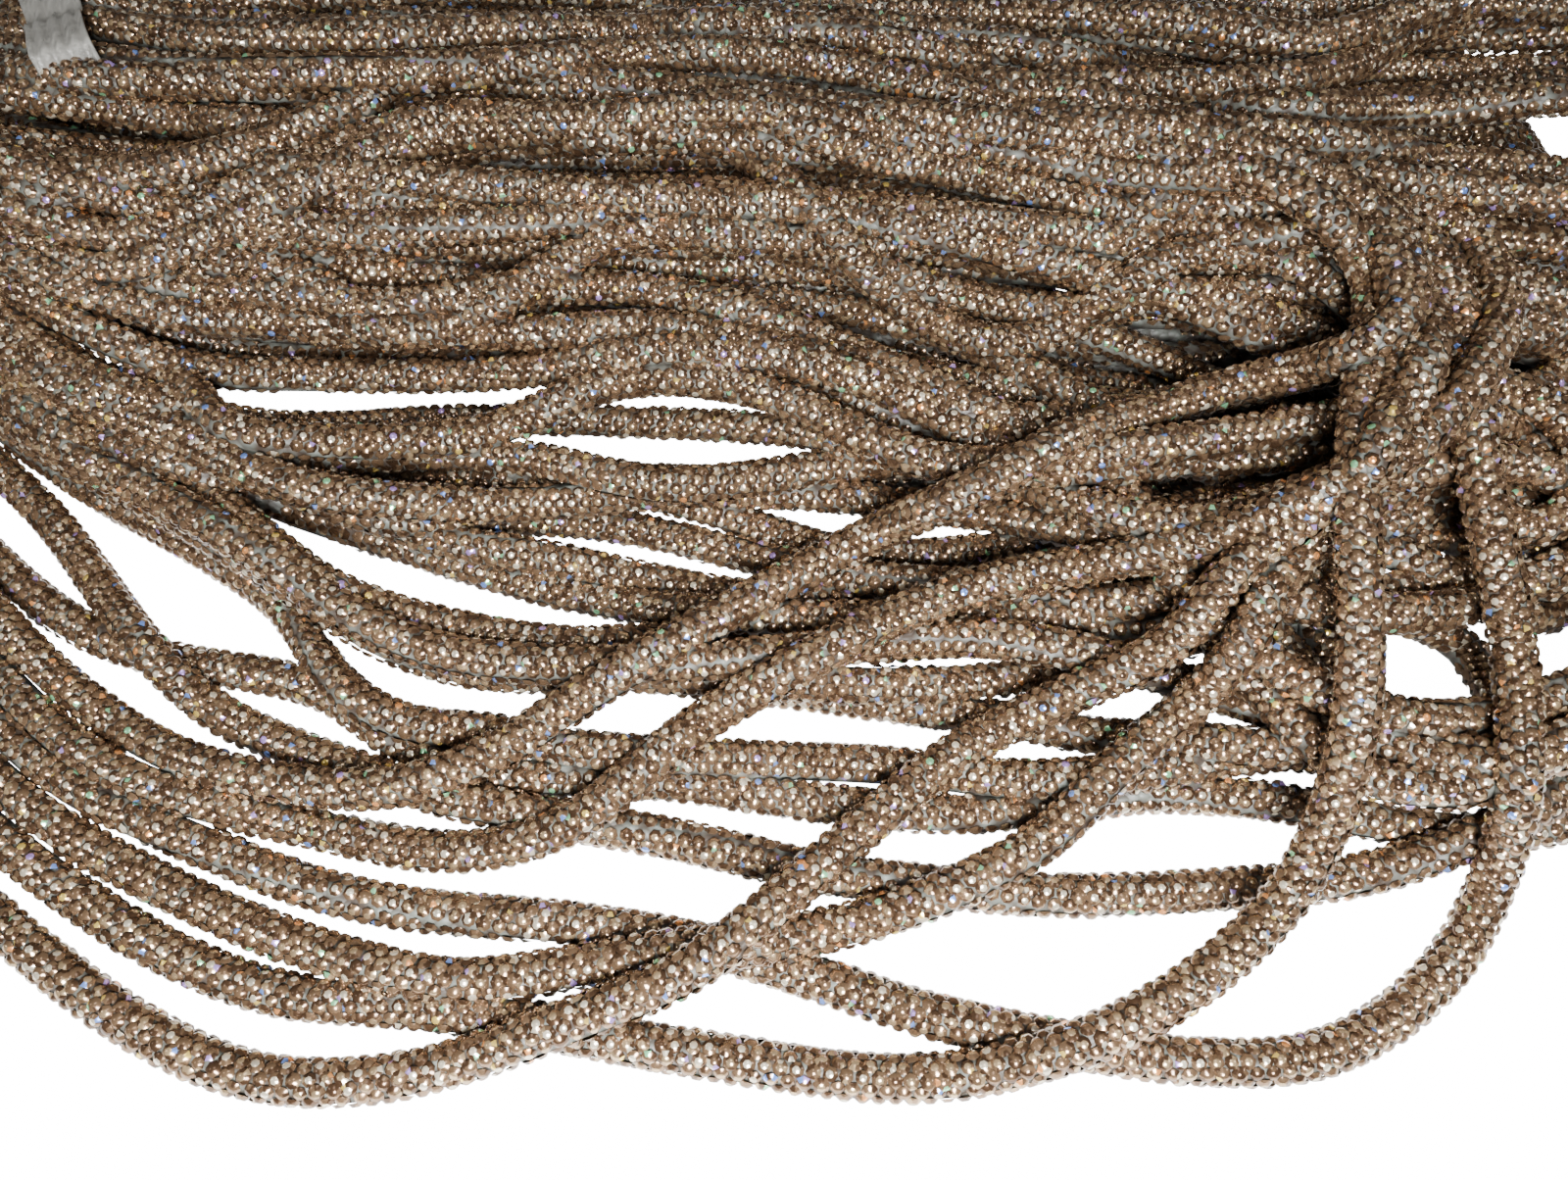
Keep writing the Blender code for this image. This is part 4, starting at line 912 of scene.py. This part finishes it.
@dataclass
class RhinestoneCord:
    """The cord: a round core of net, with rows of stones set all round it, and sizes in metres."""

    laying: Laying
    turns: list[np.ndarray]
    step: float = 0.001
    core_radius: float = 0.0025
    core_step: int = 4
    ground: float = 0.00006
    rows: int = 10
    pitch: float = 0.002
    seam_angle: float = math.radians(14)
    stone_radius: float = 0.00102
    stone_height: float = 0.00046
    stone_seat: float = 0.00252
    place_spread: float = 0.04
    tilt: float = 0.08
    size_spread: float = 0.05
    sky_rings: tuple[tuple[float, int], ...] = ((0.12, 8), (0.55, 7), (0.85, 4))
    sky_facing: float = 0.05
    sky_reach: float = 0.25
    tip_share: float = 1.15
    covered_share: float = 1.06
    strand_step: int = 2
    own_stretch: float = 5.0
    under_facing: float = -0.55
    under_height: float = 0.0012
    plain_from: float = 0.12
    brilliant_from: float = 0.30
    brilliant_until: float = -0.02
    most_triangles: int = 185_000
    seed: int = 41
    stone_finish: FoiledStoneFinish = FoiledStoneFinish()
    net_finish: NetFinish = NetFinish()

    def __post_init__(self) -> None:
        """Work out the cord's path, and seed its source of chance."""
        self.path = CordPath.through(self.turns, self.laying, self.step, self.seed)
        self.draw = np.random.default_rng(self.seed)

    def build(self) -> list[bpy.types.Object]:
        """Build the cord.

        Returns:
            The core and the stones, as pieces.
        """
        core = self.core()
        pieces = [core] + self.stones(core)
        for piece in pieces:
            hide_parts("hank")
            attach(piece, "root")
        return pieces

    def core(self) -> bpy.types.Object:
        """Build the net core: a round tube that is pressed level where it lies.

        Returns:
            The core.
        """
        curve = bpy.data.curves.new("net_core", "CURVE")
        curve.dimensions = "3D"
        curve.bevel_depth = self.core_radius
        curve.bevel_resolution = 2
        curve.use_fill_caps = True
        run = curve.splines.new("POLY")
        line = self.path.points[::self.core_step]
        run.points.add(len(line) - 1)
        run.points.foreach_set("co", np.column_stack([line, np.ones(len(line))]).ravel())
        guide = shown("net_core_line", curve)
        graph = bpy.context.evaluated_depsgraph_get()
        mesh = bpy.data.meshes.new_from_object(guide.evaluated_get(graph))
        bpy.data.objects.remove(guide, do_unlink=True)
        for vertex in mesh.vertices:
            vertex.co.z = max(vertex.co.z, self.ground)
        mesh.polygons.foreach_set("use_smooth", [True] * len(mesh.polygons))
        mesh.materials.clear()
        mesh.materials.append(self.net_finish.material())
        return shown("net_core", mesh)

    def seats(self) -> tuple[np.ndarray, np.ndarray, np.ndarray, np.ndarray]:
        """Spread the stones' seats over the cord, in rows that start beside the seam.

        Returns:
            Each stone's place along the cord, its seat, and its outward and forward directions.
        """
        along, angles = [], []
        spread = (2 * math.pi - self.seam_angle) / self.rows
        for row in range(self.rows):
            places = np.arange(self.pitch, self.path.length - self.pitch, self.pitch)
            places = places + self.pitch / 2 * (row % 2)
            along.append(places + self.draw.normal(0, self.place_spread * self.pitch, len(places)))
            angles.append(np.full(len(places), (row + 0.5) * spread))
        along, angles = np.concatenate(along), np.concatenate(angles)
        order = np.argsort(along, kind="stable")
        along, angles = along[order], angles[order]
        tables = (self.path.points, self.path.side, self.path.up, self.path.ahead)
        centre, side, up, ahead = (self.path.at(along, table) for table in tables)
        outward = np.cos(angles)[:, None] * side + np.sin(angles)[:, None] * up
        outward /= np.linalg.norm(outward, axis=1)[:, None]
        return along, centre + outward * self.stone_seat, outward, ahead

    def sky(self) -> np.ndarray:
        """Spread directions over the sky, in rings round the zenith.

        Returns:
            The directions, as rows of three.
        """
        ways = [(0.0, 0.0, 1.0)]
        for height, count in self.sky_rings:
            level = math.sqrt(1 - height * height)
            for turn in range(count):
                angle = 2 * math.pi * (turn + height) / count
                ways.append((level * math.cos(angle), level * math.sin(angle), height))
        return np.array(ways)

    def seen_share(self, along: np.ndarray, seat: np.ndarray, outward: np.ndarray,
                   core: bpy.types.Object) -> np.ndarray:
        """Return how much of the sky over the surface each stone sees, as a share.

        Args:
            along: Each stone's place along the cord in metres.
            seat: Each stone's seat on the core.
            outward: Each stone's outward direction.
            core: The net core, which hides what lies behind it.

        Returns:
            A share from 0 to 1 for each stone, 0 for one that is inside another strand.
        """
        shape = BVHTree.FromPolygons([vertex.co for vertex in core.data.vertices],
                                     [face.vertices for face in core.data.polygons])
        line = self.path.points[::self.strand_step]
        strands = KDTree(len(line))
        for index, point in enumerate(line):
            strands.insert(point, index)
        strands.balance()
        sky = self.sky()
        lit = outward @ sky.T > self.sky_facing
        ways = [Vector(way) for way in sky]
        tips = seat + outward * self.stone_height * self.tip_share
        shares = np.zeros(len(seat))
        near = self.core_radius * self.covered_share
        for index, tip in enumerate(tips):
            if outward[index, 2] < self.under_facing and tip[2] < self.under_height:
                continue
            start = Vector(tip)
            own = along[index] / self.step / self.strand_step
            if any(abs(other - own) > self.own_stretch for _, other, _ in strands.find_range(start, near)):
                continue
            free = sum(shape.ray_cast(start, ways[number], self.sky_reach)[0] is None
                       for number in np.flatnonzero(lit[index]))
            shares[index] = free / len(ways)
        return shares

    def template(self, cut: StoneCut) -> tuple[np.ndarray, list[list[int]]]:
        """Return one stone of a cut as its points and its facets, the table last.

        Args:
            cut: The cut that the stone has.

        Returns:
            The points, with the seat at the origin and the table up, and each facet's corners.
        """
        sides, table = cut.value
        shape = bmesh.new()
        bmesh.ops.create_cone(shape, cap_ends=bool(table), segments=sides, radius1=self.stone_radius,
                              radius2=self.stone_radius * table, depth=self.stone_height)
        hidden = [face for face in shape.faces if face.normal.z < -0.9]
        bmesh.ops.delete(shape, geom=hidden, context="FACES_ONLY")
        bmesh.ops.translate(shape, verts=shape.verts, vec=(0, 0, self.stone_height / 2))
        facing_out(shape)
        shape.verts.ensure_lookup_table()
        points = np.array([vertex.co for vertex in shape.verts])
        facets = sorted(([vertex.index for vertex in face.verts] for face in shape.faces), key=len)
        shape.free()
        return points, facets

    def set_stones(self, cut: StoneCut, seat: np.ndarray, outward: np.ndarray,
                   ahead: np.ndarray) -> tuple[np.ndarray, np.ndarray, np.ndarray, np.ndarray]:
        """Return copies of a cut, one on each seat.

        Args:
            cut: The cut of these stones.
            seat: Each stone's seat.
            outward: Each stone's outward direction.
            ahead: The cord's direction at each stone.

        Returns:
            The points, the corners of all facets in a row, the facets' sizes, and which are tables.
        """
        points, facets = self.template(cut)
        count = len(seat)
        facing = outward + self.draw.normal(0, self.tilt, (count, 3))
        facing /= np.linalg.norm(facing, axis=1)[:, None]
        across = np.cross(facing, ahead)
        across /= np.linalg.norm(across, axis=1)[:, None]
        forward = np.cross(across, facing)
        spin = self.draw.uniform(0, 2 * math.pi, count)[:, None]
        first = np.cos(spin) * forward + np.sin(spin) * across
        second = np.cross(facing, first)
        size = self.draw.normal(1.0, self.size_spread, count)[:, None]
        axes = np.stack([first * size, second * size, facing * size], axis=1)
        placed = np.einsum("pk,nkj->npj", points, axes) + seat[:, None, :]
        placed[..., 2] = np.maximum(placed[..., 2], self.ground)
        corners = np.concatenate([np.array(facet) for facet in facets])
        corners = corners[None, :] + np.arange(count)[:, None] * len(points)
        sizes = np.tile([len(facet) for facet in facets], count)
        tables = np.zeros((count, len(facets)), bool)
        if cut is not StoneCut.CHIP:
            tables[:, -1] = True
        return placed.reshape(-1, 3), corners.ravel(), sizes, tables.ravel()

    def stones(self, core: bpy.types.Object) -> list[bpy.types.Object]:
        """Set the stones that show, with finer cuts where more of a stone shows.

        Args:
            core: The net core, which hides some of them.

        Returns:
            The stones as joined pieces, from one end of the cord to the other.
        """
        along, seat, outward, ahead = self.seats()
        seen = self.seen_share(along, seat, outward, core)
        finish = self.stone_finish.material()
        near = seat[:, 1] < self.brilliant_until
        levels = [(seen > self.brilliant_from) & near, seen > self.plain_from, seen > 0]
        cuts = np.select(levels, range(len(levels)), len(levels))
        costs = np.array([cut.triangles for cut in StoneCut] + [0])[cuts]
        LOG.info("stones: %d seats, %s by cut, %d triangles", len(seen),
                 np.bincount(cuts, minlength=len(levels) + 1).tolist(), costs.sum())
        share = (np.cumsum(costs) - 1) // self.most_triangles
        pieces = []
        for number in range(int(share[-1]) + 1):
            batches = []
            for index, cut in enumerate(StoneCut):
                chosen = (share == number) & (cuts == index)
                batches.append(self.set_stones(cut, seat[chosen], outward[chosen], ahead[chosen]))
            pieces.append(self.joined(f"rhinestones_{number + 1}", batches, finish))
        return pieces

    def joined(self, name: str, batches: list[tuple], finish: bpy.types.Material) -> bpy.types.Object:
        """Return batches of stones as one object with a colour for each facet.

        Args:
            name: The object's name.
            batches: What set_stones returned for each cut.
            finish: The stones' material.

        Returns:
            The object.
        """
        starts = np.cumsum([0] + [len(batch[0]) for batch in batches])
        points = np.vstack([batch[0] for batch in batches])
        corners = np.concatenate([batch[1] + start for batch, start in zip(batches, starts)])
        sizes = np.concatenate([batch[2] for batch in batches])
        tables = np.concatenate([batch[3] for batch in batches])
        mesh = bpy.data.meshes.new(name)
        mesh.vertices.add(len(points))
        mesh.vertices.foreach_set("co", points.astype(np.float32).ravel())
        mesh.loops.add(len(corners))
        mesh.loops.foreach_set("vertex_index", corners.astype(np.int32))
        mesh.polygons.add(len(sizes))
        mesh.polygons.foreach_set("loop_start", (np.cumsum(sizes) - sizes).astype(np.int32))
        mesh.update(calc_edges=True)
        # Each facet's colour, painted shade, sheen and glints included
        colours = self.stone_finish.facet_colours_and_painted_light(tables, self.draw)
        layer = mesh.color_attributes.new("facet", "FLOAT_COLOR", "CORNER")
        layer.data.foreach_set("color", np.repeat(colours, sizes, axis=0).astype(np.float32).ravel())
        mesh.materials.append(finish)
        return shown(name, mesh)


@dataclass
class PlasticTie:
    """The tie: a creased band of clouded film, drawn tight over the back of the bundle, in mm."""

    laying: Laying
    start: tuple[float, float] = (-110.0, 160.8)
    heading: tuple[float, float] = (-0.452, 0.892)
    length: float = 73.5
    width: float = 9.6
    thickness: float = 0.35
    rise: float = 0.6
    steps: int = 64
    foot: float = 1.6
    tuck: float = 10.0
    overhang: float = 1.5
    evening_rounds: int = 6
    folds: int = 4
    fold_depth: float = 0.45
    fold_drift: float = 0.5
    fold_length: float = 9.0
    pinch: float = 0.05
    pinch_length: float = 7.0
    cross_steps: int = 16
    finish: FilmFinish = FilmFinish()

    def profile(self, turns: list[np.ndarray]) -> list[tuple[float, float]]:
        """Return the band's path over the bundle, as places along it with heights in mm.

        Args:
            turns: Every turn's route in mm.

        Returns:
            Pairs of place and height.
        """
        points = np.vstack(turns)
        heading = np.array(self.heading)
        offset = points[:, :2] - np.array(self.start)
        along = offset @ heading
        aside = np.abs(offset @ np.array([heading[1], -heading[0]]))
        near, along = points[aside < self.width], along[aside < self.width]
        places = np.linspace(0, self.length, self.steps)
        tops = []
        for where in places:
            under = near[np.abs(along - where) < self.laying.cord_diameter]
            tops.append(under[:, 2].max() + self.laying.cord_radius if len(under)
                        else self.laying.cord_diameter)
        for _ in range(self.evening_rounds):
            padded = np.pad(tops, 1, mode="edge")
            tops = np.maximum(tops, (padded[:-2] + padded[1:-1] + padded[2:]) / 3)
        line = [(where, top + self.rise) for where, top in zip(places, tops)]
        return [(-self.overhang, line[0][1] - self.tuck)] + line + [(self.length + self.overhang, self.foot)]

    def build(self, turns: list[np.ndarray]) -> bpy.types.Object:
        """Build the band over the turns, and return it as a piece.

        Args:
            turns: Every turn's route in mm.

        Returns:
            The band.
        """
        start, heading = np.array(self.start), np.array(self.heading)
        side = np.array([heading[1], -heading[0]])
        shares = np.linspace(-0.5, 0.5, self.cross_steps + 1)
        lines = []
        for along, height in self.profile(turns):
            drift = self.fold_drift * math.sin(along / self.fold_length)
            waves = np.cos(2 * math.pi * self.folds * shares + drift)
            narrow = 1 - self.pinch * (1 + math.sin(along / self.pinch_length))
            middle = start + heading * along
            spots = [(*(middle + side * self.width * narrow * share), height + self.fold_depth * wave)
                     for share, wave in zip(shares, waves)]
            lines.append(self.laying.place(np.array(spots)))
        shape = bmesh.new()
        bmesh.ops.create_grid(shape, x_segments=self.cross_steps, y_segments=len(lines) - 1, size=1.0)
        for vertex, spot in zip(shape.verts, np.vstack(lines)):
            vertex.co = spot
        facing_out(shape)
        mesh = bpy.data.meshes.new("film_band")
        shape.to_mesh(mesh)
        shape.free()
        mesh.polygons.foreach_set("use_smooth", [True] * len(mesh.polygons))
        mesh.materials.append(self.finish.material())
        band = shown("film_band", mesh)
        wall = band.modifiers.new("thickness", "SOLIDIFY")
        wall.thickness = self.thickness * MM
        wall.offset = 1.0
        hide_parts("tie")
        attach(band, "root")
        return band


@dataclass
class Studio:
    """The pale floor, the soft lights and the camera, with places in metres."""

    laying: Laying
    pitch: float = math.radians(30)
    lens: float = 27.07
    floor_size: float = 3.0
    floor_colour: Colour = (0.93, 0.93, 0.92)
    floor_roughness: float = 0.9
    floor_glow: Range = (0.15, 16.0)
    sky_colour: Colour = (1.0, 0.97, 0.93)
    sky_strength: float = 0.12
    sensor: float = 36.0
    nearest: float = 0.01

    def build(self) -> None:
        """Build the floor, the lights and the camera."""
        self.floor()
        self.lights()
        self.camera()

    def floor(self) -> None:
        """Lay a plain pale floor under the hank."""
        shape = bmesh.new()
        bmesh.ops.create_grid(shape, x_segments=1, y_segments=1, size=self.floor_size)
        mesh = bpy.data.meshes.new("pale_floor")
        shape.to_mesh(mesh)
        shape.free()
        made = Shading("pale_paint", {"Base Color": (*self.floor_colour, 1), "Emission Color": (1, 1, 1, 1),
                                      "Roughness": self.floor_roughness})
        made.between(made.add("LightPath"), "Is Camera Ray", self.floor_glow, "Emission Strength")
        mesh.materials.append(made.material)
        floor = shown("pale_floor", mesh)

    def lights(self) -> None:
        """Hang one bright light near the viewpoint and a few weak ones, which the facets throw back."""
        world = bpy.data.worlds.new("studio")
        world.use_nodes = True
        sky = world.node_tree.nodes["Background"]
        sky.inputs["Color"].default_value = (*self.sky_colour, 1)
        sky.inputs["Strength"].default_value = self.sky_strength
        bpy.context.scene.world = world
        # Each light's name, place, aim, size, spread in degrees and power
        rigs = (
            ("near", (0.03, -0.27, 0.23), (0.01, -0.135, 0.0), 0.12, 110, 1.9),
            ("top", (-0.02, 0.02, 0.62), (0.0, 0.0, 0.0), 0.22, 180, 0.5),
            ("left", (-0.60, -0.10, 0.45), (0.0, 0.0, 0.0), 0.12, 180, 0.3),
            ("right", (0.60, -0.05, 0.50), (0.0, 0.0, 0.0), 0.12, 180, 0.7),
        )
        for name, place, aim, size, spread, power in rigs:
            lamp = bpy.data.lights.new(name, "AREA")
            lamp.shape = "DISK"
            lamp.size = size
            lamp.spread = math.radians(spread)
            lamp.energy = power
            holder = shown(name, lamp)
            holder.location = place
            holder.rotation_euler = (Vector(aim) - Vector(place)).to_track_quat("-Z", "Y").to_euler()

    def camera(self) -> None:
        """Set the camera where the photograph was taken from."""
        lens = bpy.data.cameras.new("camera")
        lens.sensor_width = self.sensor
        lens.lens = self.lens
        lens.clip_start = self.nearest
        holder = shown("camera", lens)
        holder.location = self.laying.place(np.array([0.0, 0.0, self.laying.eye_height]))
        holder.rotation_euler = (self.pitch, 0, 0)
        bpy.context.scene.camera = holder


def main() -> None:
    """Build the studio, the cord and its tie, and report each piece."""
    logging.basicConfig(level=logging.INFO, format="%(message)s")
    laying = Laying()
    turns = laying.lay_turns()
    Studio(laying).build()
    pieces = RhinestoneCord(laying, turns).build() + [PlasticTie(laying).build(turns)]
    for piece in pieces:
        LOG.info("%s: %d facets", piece.name, len(piece.data.polygons))


if __name__ == "__main__":
    main()
